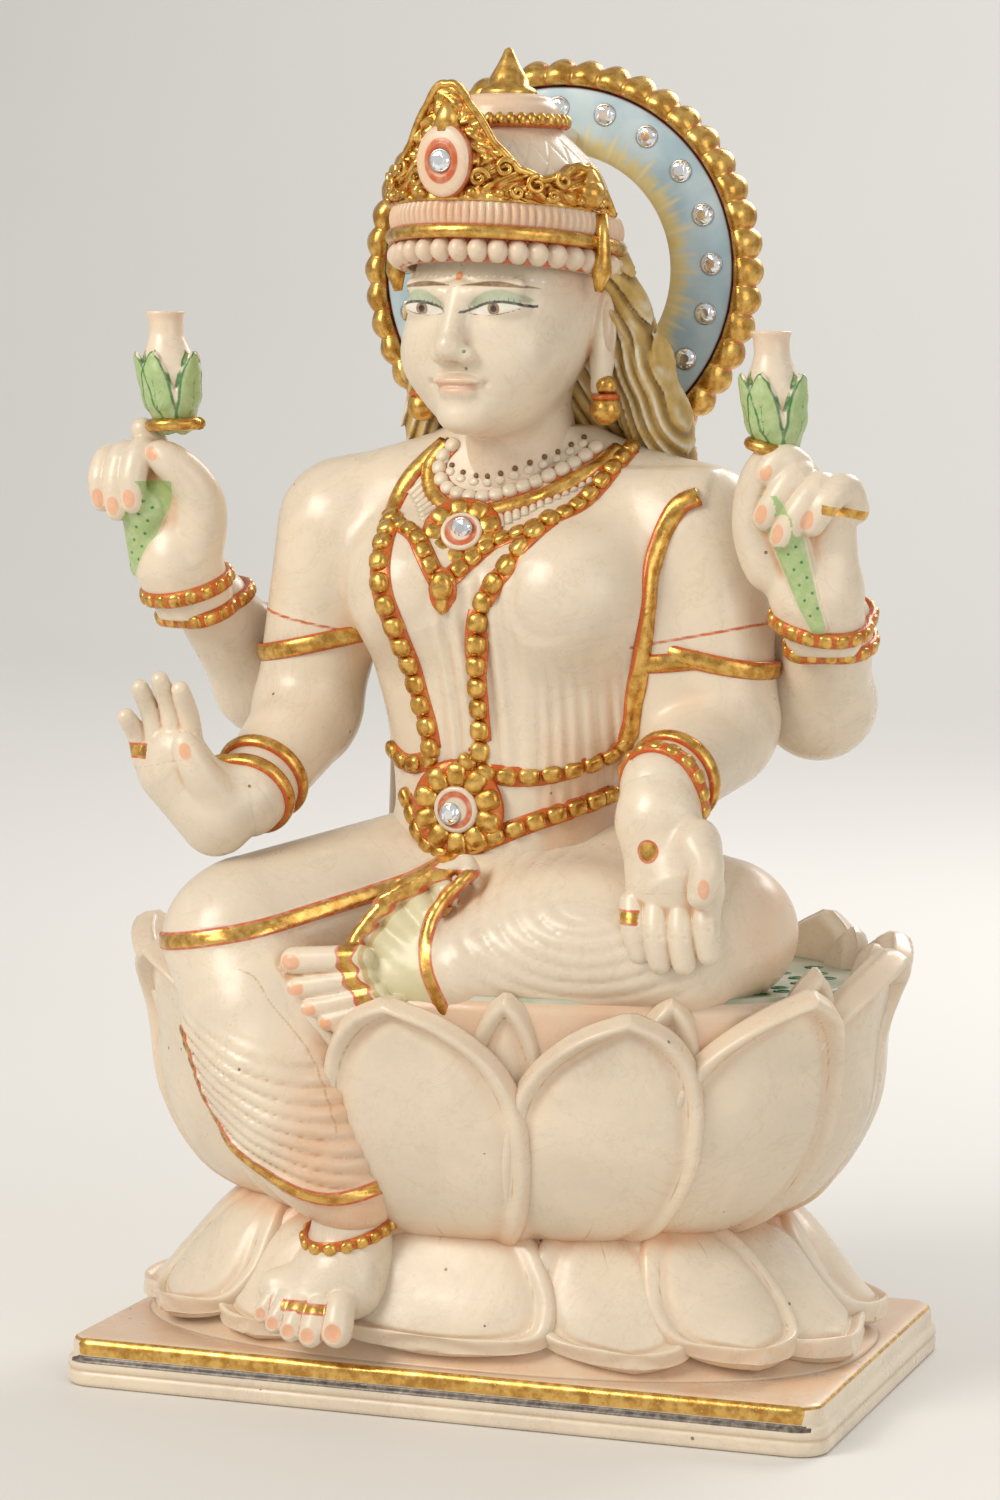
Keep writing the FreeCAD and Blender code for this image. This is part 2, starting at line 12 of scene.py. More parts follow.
import bmesh
import bpy
import numpy as np
import openvdb
from mathutils import Matrix, Vector
from mathutils.bvhtree import BVHTree


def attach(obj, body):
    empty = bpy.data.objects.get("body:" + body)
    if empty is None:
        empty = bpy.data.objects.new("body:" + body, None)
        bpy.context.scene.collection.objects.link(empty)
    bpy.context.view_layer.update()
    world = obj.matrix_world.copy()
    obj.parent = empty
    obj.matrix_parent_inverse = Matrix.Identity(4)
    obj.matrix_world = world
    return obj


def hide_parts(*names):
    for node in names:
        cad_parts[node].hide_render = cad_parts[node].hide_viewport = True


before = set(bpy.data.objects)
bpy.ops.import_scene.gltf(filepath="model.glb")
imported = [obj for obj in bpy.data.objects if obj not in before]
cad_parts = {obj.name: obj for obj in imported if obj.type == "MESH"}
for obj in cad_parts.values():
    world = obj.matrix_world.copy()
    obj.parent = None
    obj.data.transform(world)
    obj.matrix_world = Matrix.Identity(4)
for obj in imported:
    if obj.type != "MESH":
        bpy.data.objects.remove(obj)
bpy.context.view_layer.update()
MM = 0.001
COARSE = 1.0


# ---- clay: signed distances on a grid ----------------------------------------------------------------
def smooth_min(a, b, k):
    if k <= 0:
        return np.minimum(a, b)
    h = np.clip(0.5 + 0.5 * (b - a) / k, 0.0, 1.0)
    return b + (a - b) * h - k * h * (1.0 - h)


def smooth_step(low, high, value):
    t = np.clip((value - low) / (high - low), 0.0, 1.0)
    return t * t * (3.0 - 2.0 * t)


def turn(yaw=0.0, pitch=0.0, roll=0.0):
    """Rotation in degrees: roll about X, then pitch about Y, then yaw about Z."""
    r = Matrix.Rotation(math.radians(yaw), 3, "Z") @ Matrix.Rotation(math.radians(pitch), 3, "Y")
    return np.array(r @ Matrix.Rotation(math.radians(roll), 3, "X"))


class Ball:
    """An ellipsoid."""

    def __init__(self, centre, radii, rotation=None):
        self.c, self.r = np.array(centre, float), np.array(radii, float)
        self.m = None if rotation is None else np.array(rotation)
        reach = self.r.max() if self.m is not None else self.r
        self.low, self.high = self.c - reach, self.c + reach

    def dist(self, x, y, z):
        x, y, z = x - self.c[0], y - self.c[1], z - self.c[2]
        if self.m is not None:
            m = self.m
            x, y, z = (m[0, i] * x + m[1, i] * y + m[2, i] * z for i in range(3))
        a = np.sqrt((x / self.r[0]) ** 2 + (y / self.r[1]) ** 2 + (z / self.r[2]) ** 2)
        b = np.sqrt((x / self.r[0] ** 2) ** 2 + (y / self.r[1] ** 2) ** 2 + (z / self.r[2] ** 2) ** 2)
        return a * (a - 1.0) / np.maximum(b, 1e-6)


class Rod:
    """A rounded rod between two points, flattened along one direction by flat."""

    def __init__(self, a, b, ra, rb=None, flat=None, squash=1.0):
        self.a, self.b = np.array(a, float), np.array(b, float)
        self.ra, self.rb = ra, ra if rb is None else rb
        self.flat, self.squash = flat, squash
        reach = max(self.ra, self.rb)
        self.low = np.minimum(self.a, self.b) - reach
        self.high = np.maximum(self.a, self.b) + reach

    def dist(self, x, y, z):
        ab = self.b - self.a
        x, y, z = x - self.a[0], y - self.a[1], z - self.a[2]
        t = np.clip((x * ab[0] + y * ab[1] + z * ab[2]) / max(float(ab @ ab), 1e-9), 0.0, 1.0)
        x, y, z = x - t * ab[0], y - t * ab[1], z - t * ab[2]
        if self.flat is None:
            d = np.sqrt(x * x + y * y + z * z)
            return d - (self.ra + (self.rb - self.ra) * t)
        n = np.array(self.flat, float) / np.linalg.norm(self.flat)
        along = x * n[0] + y * n[1] + z * n[2]
        extra = (1.0 / self.squash) ** 2 - 1.0
        d = np.sqrt(x * x + y * y + z * z + extra * along * along)
        return (d - (self.ra + (self.rb - self.ra) * t)) * (0.5 + 0.5 * self.squash)


class Stack:
    """Level ellipses stacked smoothly: rows of (z, centre x, centre y, half x, half y)."""

    def __init__(self, rows, power=2.0):
        rows = np.array(sorted(rows), float)
        self.z, self.rows, self.power = rows[:, 0], rows, power
        self.low = np.array([(rows[:, 1] - rows[:, 3]).min(), (rows[:, 2] - rows[:, 4]).min(), rows[0, 0]])
        self.high = np.array([(rows[:, 1] + rows[:, 3]).max(), (rows[:, 2] + rows[:, 4]).max(), rows[-1, 0]])

    def at(self, z):
        """Centre and half sizes at each height, from a smooth curve through the rows."""
        fine = np.linspace(self.z[0], self.z[-1], 160)
        out = []
        for k in range(1, 5):
            curve = hermite(self.z, self.rows[:, k], fine)
            out.append(np.interp(z, fine, curve))
        return out

    def dist(self, x, y, z):
        cx, cy, hx, hy = self.at(z)
        p = self.power
        q = (np.abs((x - cx) / hx) ** p + np.abs((y - cy) / hy) ** p) ** (1.0 / p)
        side = (q - 1.0) * np.minimum(hx, hy)
        ends = np.maximum(self.z[0] - z, z - self.z[-1])
        return np.maximum(side, ends)


def hermite(xs, ys, at):
    """A smooth curve through points that doesn't overshoot."""
    xs, ys = np.asarray(xs, float), np.asarray(ys, float)
    if len(xs) == 2:
        return np.interp(at, xs, ys)
    slope = np.diff(ys) / np.diff(xs)
    m = np.concatenate([[slope[0]], (slope[1:] + slope[:-1]) / 2, [slope[-1]]])
    flat = slope[1:] * slope[:-1] <= 0
    m[1:-1][flat] = 0.0
    i = np.clip(np.searchsorted(xs, at) - 1, 0, len(xs) - 2)
    h = xs[i + 1] - xs[i]
    t = np.clip((at - xs[i]) / h, 0.0, 1.0)
    a = (1 + 2 * t) * (1 - t) ** 2 * ys[i] + t * (1 - t) ** 2 * h * m[i]
    return a + t * t * (3 - 2 * t) * ys[i + 1] + t * t * (t - 1) * h * m[i + 1]


def smooth_path(points, steps=8):
    """A smooth run of points through the given ones."""
    pts = np.array(points, float)
    s = np.concatenate([[0.0], np.cumsum(np.linalg.norm(np.diff(pts, axis=0), axis=1))])
    at = np.linspace(0.0, s[-1], steps * (len(pts) - 1) + 1)
    return np.stack([catmull(s, pts[:, k], at) for k in range(pts.shape[1])], axis=1)


def catmull(xs, ys, at):
    slope = np.gradient(ys, xs) if len(xs) > 2 else np.full(len(xs), (ys[-1] - ys[0]) / (xs[-1] - xs[0]))
    i = np.clip(np.searchsorted(xs, at) - 1, 0, len(xs) - 2)
    h = xs[i + 1] - xs[i]
    t = np.clip((at - xs[i]) / h, 0.0, 1.0)
    a = (1 + 2 * t) * (1 - t) ** 2 * ys[i] + t * (1 - t) ** 2 * h * slope[i]
    return a + t * t * (3 - 2 * t) * ys[i + 1] + t * t * (t - 1) * h * slope[i + 1]


def to_path(points, *xyz, with_share=False):
    """Distance from coordinates to a polyline of the same number of dimensions."""
    pts = np.asarray(points, float)
    best = share = None
    total = np.concatenate([[0.0], np.cumsum(np.linalg.norm(np.diff(pts, axis=0), axis=1))])
    for i in range(len(pts) - 1):
        a, ab = pts[i], pts[i + 1] - pts[i]
        rel = [c - a[k] for k, c in enumerate(xyz)]
        t = np.clip(sum(r * ab[k] for k, r in enumerate(rel)) / max(float(ab @ ab), 1e-9), 0.0, 1.0)
        d = np.sqrt(sum((r - t * ab[k]) ** 2 for k, r in enumerate(rel)))
        s = (total[i] + t * (total[i + 1] - total[i])) / total[-1]
        if best is None:
            best, share = d, s
        else:
            nearer = d < best
            best, share = np.where(nearer, d, best), np.where(nearer, s, share)
    return (best, share) if with_share else best


class Clay:
    """A block of clay that shapes are added to and cut from."""

    def __init__(self, low, high, cell):
        self.cell = cell * COARSE
        self.low = np.array(low, float)
        self.n = tuple(int(math.ceil((high[i] - low[i]) / self.cell)) + 1 for i in range(3))
        self.axis = [self.low[i] + self.cell * np.arange(self.n[i]) for i in range(3)]
        self.d = np.full(self.n, 20.0, np.float32)

    def window(self, low, high):
        s = []
        for i in range(3):
            a = int(math.floor((low[i] - self.low[i]) / self.cell))
            b = int(math.ceil((high[i] - self.low[i]) / self.cell)) + 1
            s.append(slice(max(0, min(a, self.n[i])), max(0, min(b, self.n[i]))))
        return (
            tuple(s), self.axis[0][s[0]][:, None, None], self.axis[1][s[1]][None, :, None],
            self.axis[2][s[2]]
        )

    def add(self, shape, blend=0.0):
        margin = blend + 3.0 * self.cell
        s, x, y, z = self.window(shape.low - margin, shape.high + margin)
        if self.d[s].size:
            self.d[s] = smooth_min(self.d[s], shape.dist(x, y, z).astype(np.float32), blend)
        return self

    def path(self, points, radii, blend=0.0):
        radii = np.interp(np.linspace(0, 1, len(points)), np.linspace(0, 1, len(radii)), radii)
        for i in range(len(points) - 1):
            self.add(Rod(points[i], points[i + 1], radii[i], radii[i + 1]), blend)
        return self

    def cut(self, shape, blend=0.0):
        margin = blend + 3.0 * self.cell
        s, x, y, z = self.window(shape.low - margin, shape.high + margin)
        if self.d[s].size:
            self.d[s] = -smooth_min(-self.d[s], shape.dist(x, y, z).astype(np.float32), blend)
        return self

    def press(self, offset, low=None, high=None):
        """Moves the surface outward by offset(x, y, z) millimetres."""
        low = self.low if low is None else low
        high = [a[-1] for a in self.axis] if high is None else high
        s, x, y, z = self.window(low, high)
        if self.d[s].size:
            near = np.abs(self.d[s]) < 8.0
            self.d[s] -= (offset(x, y, z) * near).astype(np.float32)
        return self

    def blurred(self, radius):
        """The distances, box-blurred twice."""
        d = np.clip(self.d, -12.0, 12.0)
        k = max(1, int(round(radius / self.cell)))
        for _ in range(2):
            for axis in range(3):
                pad = [(0, 0)] * 3
                pad[axis] = (k + 1, k)
                c = np.cumsum(np.pad(d, pad, mode="edge"), axis=axis, dtype=np.float64)
                n = d.shape[axis]
                upper = np.take(c, range(2 * k + 1, 2 * k + 1 + n), axis=axis)
                lower = np.take(c, range(0, n), axis=axis)
                d = ((upper - lower) / (2 * k + 1)).astype(np.float32)
        return d

    def sample(self, field, points):
        g = (points - self.low) / self.cell
        i = np.clip(np.floor(g).astype(int), 0, np.array(self.n) - 2)
        f = np.clip(g - i, 0.0, 1.0)
        out = 0.0
        for dx in (0, 1):
            for dy in (0, 1):
                for dz in (0, 1):
                    w = (f[:, 0] if dx else 1 - f[:, 0]) * (f[:, 1] if dy else 1 - f[:, 1])
                    w = w * (f[:, 2] if dz else 1 - f[:, 2])
                    out = out + w * field[i[:, 0] + dx, i[:, 1] + dy, i[:, 2] + dz]
        return out

    def mesh(self):
        """Vertices in millimetres, faces and the hollows at each vertex, fine and broad."""
        d = np.clip(self.d, -3.0 * self.cell, 3.0 * self.cell)
        for axis in range(3):
            edge = [slice(None)] * 3
            for end in (0, -1):
                edge[axis] = end
                d[tuple(edge)] = np.maximum(d[tuple(edge)], 0.01)
        grid = openvdb.FloatGrid(background=3.0 * self.cell)
        grid.copyFromArray(d)
        points, triangles, quads = grid.convertToPolygons(isovalue=0.0, adaptivity=0.0)
        points = self.low + points * self.cell
        fine = np.clip(-self.sample(self.blurred(1.6), points) / 0.55, 0.0, 1.0)
        broad = np.clip(-self.sample(self.blurred(4.5), points) / 1.7, 0.0, 1.0)
        faces = [tuple(f[::-1]) for f in quads.tolist()] + [tuple(f[::-1]) for f in triangles.tolist()]
        return points, faces, fine, broad


# ---- Blender objects ---------------------------------------------------------------------------------
materials = {}
pieces = {}


def build(name, points, faces, material, nodes=(), marks=None):
    """A mesh object that rides on the frame, with painted marks as vertex attributes."""
    mesh = bpy.data.meshes.new(name)
    mesh.from_pydata((np.asarray(points) * MM).tolist(), [], faces)
    mesh.materials.append(materials[material])
    mesh.polygons.foreach_set("use_smooth", [True] * len(mesh.polygons))
    for key, values in (marks or {}).items():
        layer = mesh.attributes.new(key, "FLOAT", "POINT")
        layer.data.foreach_set("value", np.asarray(values, np.float32))
    body = bmesh.new()
    body.from_mesh(mesh)
    bmesh.ops.recalc_face_normals(body, faces=body.faces)
    body.to_mesh(mesh)
    body.free()
    obj = bpy.data.objects.new(name, mesh)
    bpy.context.scene.collection.objects.link(obj)
    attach(obj, "root")
    if nodes:
        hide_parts(*nodes)
    pieces[name] = obj
    return obj


def carve(name, clay, material, nodes=(), paint=None):
    points, faces, fine, broad = clay.mesh()
    # Hollows, fine and broad; the stone materials tint them peach and ochre, partly wash and partly painted
    # shade.
    marks = {"fine": fine, "broad": broad}
    if paint is not None:
        marks.update(paint(points[:, 0], points[:, 1], points[:, 2]))
    return build(name, points, faces, material, nodes, marks)


def join(parts):
    """One list of points and faces from several."""
    points, faces, count = [], [], 0
    for p, f in parts:
        points.append(np.asarray(p, float))
        faces += [tuple(i + count for i in face) for face in f]
        count += len(p)
    return np.concatenate(points), faces


def full_turn(count):
    """Evenly spaced angles round a circle."""
    return np.linspace(0, 2 * np.pi, count, endpoint=False)


def end_caps(rows, columns):
    """The first and the last ring of a grid as faces."""
    return [tuple(range(columns))[::-1], tuple(range((rows - 1) * columns, rows * columns))]


def grid_faces(rows, columns, wrap=False):
    faces = []
    for i in range(rows - 1):
        for j in range(columns if wrap else columns - 1):
            k = (j + 1) % columns
            faces.append((i * columns + j, i * columns + k, (i + 1) * columns + k, (i + 1) * columns + j))
    return faces


def blob(centre, radii, rings=10, around=16):
    """A closed rounded bead."""
    points = [(0, 0, 1)]
    for i in range(1, rings):
        a = math.pi * i / rings
        for j in range(around):
            b = 2 * math.pi * j / around
            points.append((math.sin(a) * math.cos(b), math.sin(a) * math.sin(b), math.cos(a)))
    points.append((0, 0, -1))
    faces = [(0, 1 + j, 1 + (j + 1) % around) for j in range(around)]
    for i in range(rings - 2):
        for j in range(around):
            a, b = 1 + i * around + j, 1 + i * around + (j + 1) % around
            faces.append((a, a + around, b + around, b))
    last = len(points) - 1
    base = 1 + (rings - 2) * around
    faces += [(last, base + (j + 1) % around, base + j) for j in range(around)]
    return np.array(points) * np.array(radii) + np.array(centre, float), faces


def sweep(path, radii, around=14, closed=False, flat=(1.0, 1.0), normal=None):
    """A tube along a path; flat scales it across and along the given normals."""
    path = np.asarray(path, float)
    n = len(path)
    radii = np.interp(
        np.linspace(0, 1, n), np.linspace(0, 1, len(np.atleast_1d(radii))), np.atleast_1d(radii)
    )
    tangent = np.roll(path, -1, 0) - np.roll(path, 1, 0) if closed else np.gradient(path, axis=0)
    tangent /= np.linalg.norm(tangent, axis=1)[:, None]
    if normal is None:
        normal = np.tile([0.0, -1.0, 0.001], (n, 1))
    normal = np.asarray(normal, float)
    if normal.ndim == 1:
        normal = np.tile(normal, (n, 1))
    side = np.cross(tangent, normal)
    side /= np.linalg.norm(side, axis=1)[:, None]
    out = np.cross(side, tangent)
    a = 2 * np.pi * np.arange(around) / around
    ring = (
        side[:, None, :] * np.cos(a)[None, :, None] * flat[0]
        + out[:, None, :] * np.sin(a)[None, :, None] * flat[1]
    )
    points = (path[:, None, :] + ring * radii[:, None, None]).reshape(-1, 3)
    if closed:
        faces = grid_faces(n, around, wrap=True)
        faces += [
            ((n - 1) * around + j, (n - 1) * around + (j + 1) % around, (j + 1) % around, j)
            for j in range(around)
        ]
    else:
        faces = grid_faces(n, around, wrap=True)
        faces += [tuple(range(around))[::-1], tuple((n - 1) * around + j for j in range(around))]
    return points, [f[::-1] for f in faces]


# ---- materials ---------------------------------------------------------------------------------------
class Shader:
    """A material built from nodes. Sizes are in millimetres of the object."""

    def __init__(self, name):
        self.material = bpy.data.materials.new(name)
        self.material.use_nodes = True
        self.tree = self.material.node_tree
        self.nodes, self.links = self.tree.nodes, self.tree.links
        self.bsdf = self.nodes["Principled BSDF"]
        self.place = self.nodes.new("ShaderNodeTexCoord").outputs["Object"]
        materials[name] = self.material

    def put(self, socket, value):
        if isinstance(value, bpy.types.NodeSocket):
            self.links.new(value, socket)
        elif isinstance(value, (tuple, list)) and len(value) == 3 and socket.type == "RGBA":
            socket.default_value = (*value, 1.0)
        else:
            socket.default_value = value

    def set(self, **values):
        for key, value in values.items():
            self.put(self.bsdf.inputs[key.replace("_", " ")], value)

    def math(self, kind, a, b=0.0):
        n = self.nodes.new("ShaderNodeMath")
        n.operation = kind
        for socket, value in zip(n.inputs, (a, b)):
            self.put(socket, value)
        return n.outputs[0]

    def mark(self, name):
        n = self.nodes.new("ShaderNodeAttribute")
        n.attribute_name = name
        return n.outputs["Fac"]

    def step(self, value, low, high, to_low=0.0, to_high=1.0):
        n = self.nodes.new("ShaderNodeMapRange")
        n.interpolation_type = "SMOOTHSTEP"
        for key, v in zip(
            ("Value", "From Min", "From Max", "To Min", "To Max"), (value, low, high, to_low, to_high)
        ):
            self.put(n.inputs[key], v)
        return n.outputs["Result"]

    def noise(self, size, detail=3.0, rough=0.5, twist=0.0):
        n = self.nodes.new("ShaderNodeTexNoise")
        self.put(n.inputs["Vector"], self.place)
        n.inputs["Scale"].default_value = 1000.0 / size
        n.inputs["Detail"].default_value = detail
        n.inputs["Roughness"].default_value = rough
        n.inputs["Distortion"].default_value = twist
        return n.outputs["Fac"]

    def cells(self, size):
        n = self.nodes.new("ShaderNodeTexVoronoi")
        self.put(n.inputs["Vector"], self.place)
        n.inputs["Scale"].default_value = 1000.0 / size
        return n.outputs["Distance"]

    def mix(self, share, a, b):
        n = self.nodes.new("ShaderNodeMix")
        n.data_type = "RGBA"
        self.put(n.inputs[0], share)
        self.put(n.inputs[6], a)
        self.put(n.inputs[7], b)
        return n.outputs[2]

    def relief(self, height, depth, strength=1.0, under=None):
        n = self.nodes.new("ShaderNodeBump")
        self.put(n.inputs["Height"], height)
        n.inputs["Distance"].default_value = depth * MM
        n.inputs["Strength"].default_value = strength
        if under is not None:
            self.put(n.inputs["Normal"], under)
        return n.outputs["Normal"]


MARBLE_PALE, MARBLE_GREY = (0.78, 0.66, 0.50), (0.69, 0.585, 0.45)
PEACH, OCHRE = (0.74, 0.36, 0.16), (0.50, 0.30, 0.10)
GOLD_LIGHT, GOLD_DARK = (0.80, 0.50, 0.14), (0.50, 0.25, 0.05)
RED_PAINT = (0.56, 0.095, 0.010)


def stone_colour(s):
    """Cloudy stone with faint veins, tinted peach and ochre in its hollows and where pieces touch: partly
    the statue's own wash, partly painted shade.
    """
    cloud = s.step(s.noise(34.0, 5.0, 0.6, 0.6), 0.35, 0.68)
    colour = s.mix(cloud, MARBLE_GREY, MARBLE_PALE)
    grain = s.step(s.noise(1.6, 3.0, 0.7), 0.3, 0.7, 0.0, 0.15)
    colour = s.mix(grain, colour, (0.80, 0.75, 0.66))
    vein = s.math("ABSOLUTE", s.math("SUBTRACT", s.noise(26.0, 6.0, 0.62, 1.4), 0.5))
    colour = s.mix(s.step(vein, 0.0, 0.018, 0.16, 0.0), colour, (0.46, 0.35, 0.22))
    patch = s.step(s.noise(17.0, 3.0, 0.55), 0.3, 0.7, 0.45, 1.0)
    # Broad hollows turn peach and fine ones darker ochre: partly the statue's own wash, partly painted shade
    # in the creases.
    broad = s.math("MULTIPLY", s.step(s.mark("broad"), 0.14, 0.9), patch)
    colour = s.mix(s.math("MULTIPLY", broad, 0.88), colour, (0.74, 0.43, 0.22))
    fine = s.math("MULTIPLY", s.step(s.mark("fine"), 0.30, 1.0), patch)
    colour = s.mix(s.math("MULTIPLY", fine, 0.70), colour, (0.55, 0.27, 0.09))
    # Where pieces touch, the stone turns peach too: partly the statue's wash, partly painted shade between
    # the parts.
    near = s.math("MULTIPLY", s.mark("touch"), patch)
    colour = s.mix(s.math("MULTIPLY", near, 0.88), colour, (0.70, 0.36, 0.15))
    # The peach wash that each piece paints; at the feet and in the hollows of the petals it is partly
    # painted shade.
    colour = s.mix(s.math("MULTIPLY", s.mark("wash"), patch), colour, PEACH)
    pit = s.step(s.cells(11.0), 0.035, 0.05, 0.8, 0.0)
    pit = s.math("MULTIPLY", pit, s.step(s.noise(23.0, 1.0), 0.52, 0.58))
    return s.mix(pit, colour, (0.12, 0.07, 0.03)), pit


def painted_stone(name, layers=()):
    """Stone with the marks painted on it: (mark, colour, strength, edge in mm)."""
    s = Shader(name)
    colour, pit = stone_colour(s)
    worn = s.step(s.noise(2.4, 4.0, 0.65), 0.30, 0.62, 0.72, 1.0)
    for mark, tint, strength, edge in layers:
        inside = s.step(s.mark(mark), 0.02, edge)
        colour = s.mix(s.math("MULTIPLY", s.math("MULTIPLY", inside, worn), strength), colour, tint)
    red = s.step(s.mark("red"), 0.02, 0.35)
    colour = s.mix(
        s.math("MULTIPLY", red, s.step(s.noise(3.0, 3.0, 0.6), 0.25, 0.6, 0.55, 0.95)), colour, RED_PAINT
    )
    gold = s.step(s.mark("gold"), 0.02, 0.22)
    gold = s.math("MULTIPLY", gold, s.step(s.noise(1.3, 3.0, 0.7), 0.27, 0.33))
    leaf = s.mix(s.step(s.noise(3.2, 4.0, 0.6), 0.35, 0.65), GOLD_DARK, GOLD_LIGHT)
    colour = s.mix(gold, colour, leaf)
    rough = s.step(s.noise(9.0, 4.0, 0.6), 0.3, 0.7, 0.26, 0.40)
    polish = s.math("ADD", rough, s.math("MULTIPLY", gold, -0.04))
    s.set(Base_Color=colour, Roughness=polish, Metallic=s.math("MULTIPLY", gold, 0.92))
    s.set(Subsurface_Weight=0.16, Subsurface_Radius=(1.0, 0.62, 0.38), Subsurface_Scale=0.003)
    s.set(Specular_IOR_Level=0.55, Coat_Weight=0.12, Coat_Roughness=0.15)
    uneven = s.relief(s.noise(7.0, 4.0, 0.55), 0.35, 0.5)
    tooled = s.relief(s.noise(0.9, 3.0, 0.6), 0.05, 0.45, uneven)
    s.set(Normal=s.relief(pit, -0.5, 0.8, tooled))
    return s


def gold_material(name):
    """Gold paint over carved stone, with red in its hollows."""
    s = Shader(name)
    leaf = s.mix(s.step(s.noise(3.2, 4.0, 0.6), 0.35, 0.65), GOLD_DARK, GOLD_LIGHT)
    red = s.step(s.mark("fine"), 0.45, 0.85)
    red = s.math("MAXIMUM", red, s.step(s.mark("red"), 0.02, 0.35))
    red = s.math("MULTIPLY", red, s.step(s.noise(2.0, 3.0, 0.6), 0.25, 0.6, 0.4, 1.0))
    s.set(
        Base_Color=s.mix(red, leaf, RED_PAINT),
        Metallic=s.math("SUBTRACT", 0.95, s.math("MULTIPLY", red, 0.9))
    )
    s.set(Roughness=s.step(s.noise(2.1, 4.0, 0.6), 0.3, 0.7, 0.20, 0.38))
    s.set(Specular_IOR_Level=0.5)
    hammered = s.relief(s.noise(2.6, 3.0, 0.5), 0.22, 0.55)
    s.set(Normal=s.relief(s.noise(0.7, 2.0, 0.6), 0.04, 0.4, hammered))
    return s


def make_materials():
    painted_stone(
        "marble",
        (
            ("pale", (0.62, 0.60, 0.30), 0.60, 1.2),
            ("line", OCHRE, 0.72, 0.4),
            ("moss", (0.34, 0.40, 0.16), 0.55, 0.8),
            ("nail", (0.80, 0.34, 0.16), 0.72, 0.35),
            ("dark", (0.035, 0.02, 0.015), 0.95, 0.2),
            ("leaf", (0.15, 0.36, 0.08), 0.85, 0.4),
            ("deep", (0.02, 0.14, 0.03), 0.9, 0.25),
        ),
    )
    gold_material("gilt")
    gold_material("rim")
    painted_stone(
        "face",
        (
            ("shade", (0.30, 0.42, 0.27), 0.70, 0.9),
            ("white", (0.80, 0.77, 0.70), 0.85, 0.3),
            ("lip", (0.66, 0.33, 0.20), 0.55, 1.2),
            ("line", (0.45, 0.16, 0.06), 0.7, 0.3),
            ("iris", (0.22, 0.10, 0.03), 0.95, 0.3),
            ("brow", (0.17, 0.085, 0.02), 0.9, 0.35),
            ("dark", (0.02, 0.015, 0.012), 0.97, 0.22),
            ("pearl", (0.86, 0.84, 0.80), 0.95, 0.25),
            ("nail", (0.80, 0.22, 0.02), 0.9, 0.3),
            ("leaf", (0.02, 0.20, 0.05), 0.9, 0.25),
        ),
    )
    painted_stone(
        "bud",
        (
            ("leaf", (0.26, 0.46, 0.13), 0.80, 0.7),
            ("line", OCHRE, 0.5, 0.4),
            ("deep", (0.02, 0.15, 0.03), 0.92, 0.3),
            ("nail", (0.80, 0.34, 0.16), 0.72, 0.35),
        ),
    )
    make_hair_material()
    make_halo_material()
    make_pod_material()
    s = Shader("rhinestone")
    s.set(
        Base_Color=s.mix(s.noise(2.0, 1.0), (0.80, 0.84, 0.90), (0.93, 0.95, 0.98)), Metallic=0.85,
        Roughness=0.07
    )
    s.set(Coat_Weight=1.0, Coat_Roughness=0.02, Coat_IOR=1.6)
    s = Shader("leaf_paint")
    s.set(Base_Color=s.mix(s.noise(1.5, 2.0), (0.015, 0.11, 0.03), (0.04, 0.22, 0.06)), Roughness=0.4)
    s.set(Normal=s.relief(s.noise(1.0, 2.0), 0.05, 0.4))
    s = Shader("clay_brown")
    s.set(Base_Color=s.mix(s.noise(1.5, 2.0), (0.13, 0.06, 0.015), (0.22, 0.11, 0.03)), Roughness=0.42)
    s = Shader("silver")
    s.set(
        Base_Color=s.mix(s.noise(1.0, 2.0), (0.42, 0.42, 0.42), (0.66, 0.65, 0.63)), Metallic=1.0,
        Roughness=0.28
    )


def make_hair_material():
    s = Shader("hair")
    tone = s.step(s.noise(9.0, 4.0, 0.6), 0.3, 0.7)
    colour = s.mix(tone, (0.46, 0.28, 0.055), (0.66, 0.46, 0.15))
    # Pale on the ridges of the strands: a painted highlight.
    colour = s.mix(
        s.math("MULTIPLY", s.mark("pale"), s.step(s.noise(12.0, 2.0), 0.42, 0.60)), colour,
        (0.74, 0.68, 0.55)
    )
    # Dark brown in the valleys between the strands: painted shade.
    colour = s.mix(s.math("MULTIPLY", s.mark("fine"), 0.75), colour, (0.20, 0.11, 0.025))
    s.set(
        Base_Color=colour, Roughness=s.step(s.noise(5.0, 3.0), 0.3, 0.7, 0.3, 0.45),
        Subsurface_Weight=0.08
    )
    s.set(Subsurface_Radius=(1.0, 0.6, 0.3), Subsurface_Scale=0.002, Coat_Weight=0.1, Coat_Roughness=0.2)
    s.set(Normal=s.relief(s.noise(1.4, 3.0, 0.6), 0.12, 0.5))


def make_halo_material():
    s = Shader("halo")
    sky = s.mix(s.step(s.noise(14.0, 3.0, 0.5), 0.3, 0.7), (0.34, 0.48, 0.56), (0.52, 0.64, 0.68))
    sun = s.mix(s.noise(5.0, 3.0, 0.6), (0.66, 0.52, 0.16), (0.74, 0.66, 0.38))
    colour = s.mix(s.mark("sun"), sky, sun)
    colour = s.mix(s.mark("pale"), colour, (0.74, 0.72, 0.62))
    colour = s.mix(s.step(s.mark("maroon"), 0.02, 0.4), colour, (0.10, 0.012, 0.015))
    colour = s.mix(s.mark("back"), colour, MARBLE_PALE)
    s.set(
        Base_Color=colour, Roughness=s.step(s.noise(6.0, 3.0), 0.3, 0.7, 0.28, 0.42),
        Subsurface_Weight=0.06
    )
    s.set(Subsurface_Radius=(1.0, 0.8, 0.6), Subsurface_Scale=0.002, Coat_Weight=0.15, Coat_Roughness=0.15)
    s.set(Normal=s.relief(s.noise(2.2, 3.0, 0.6), 0.10, 0.5))


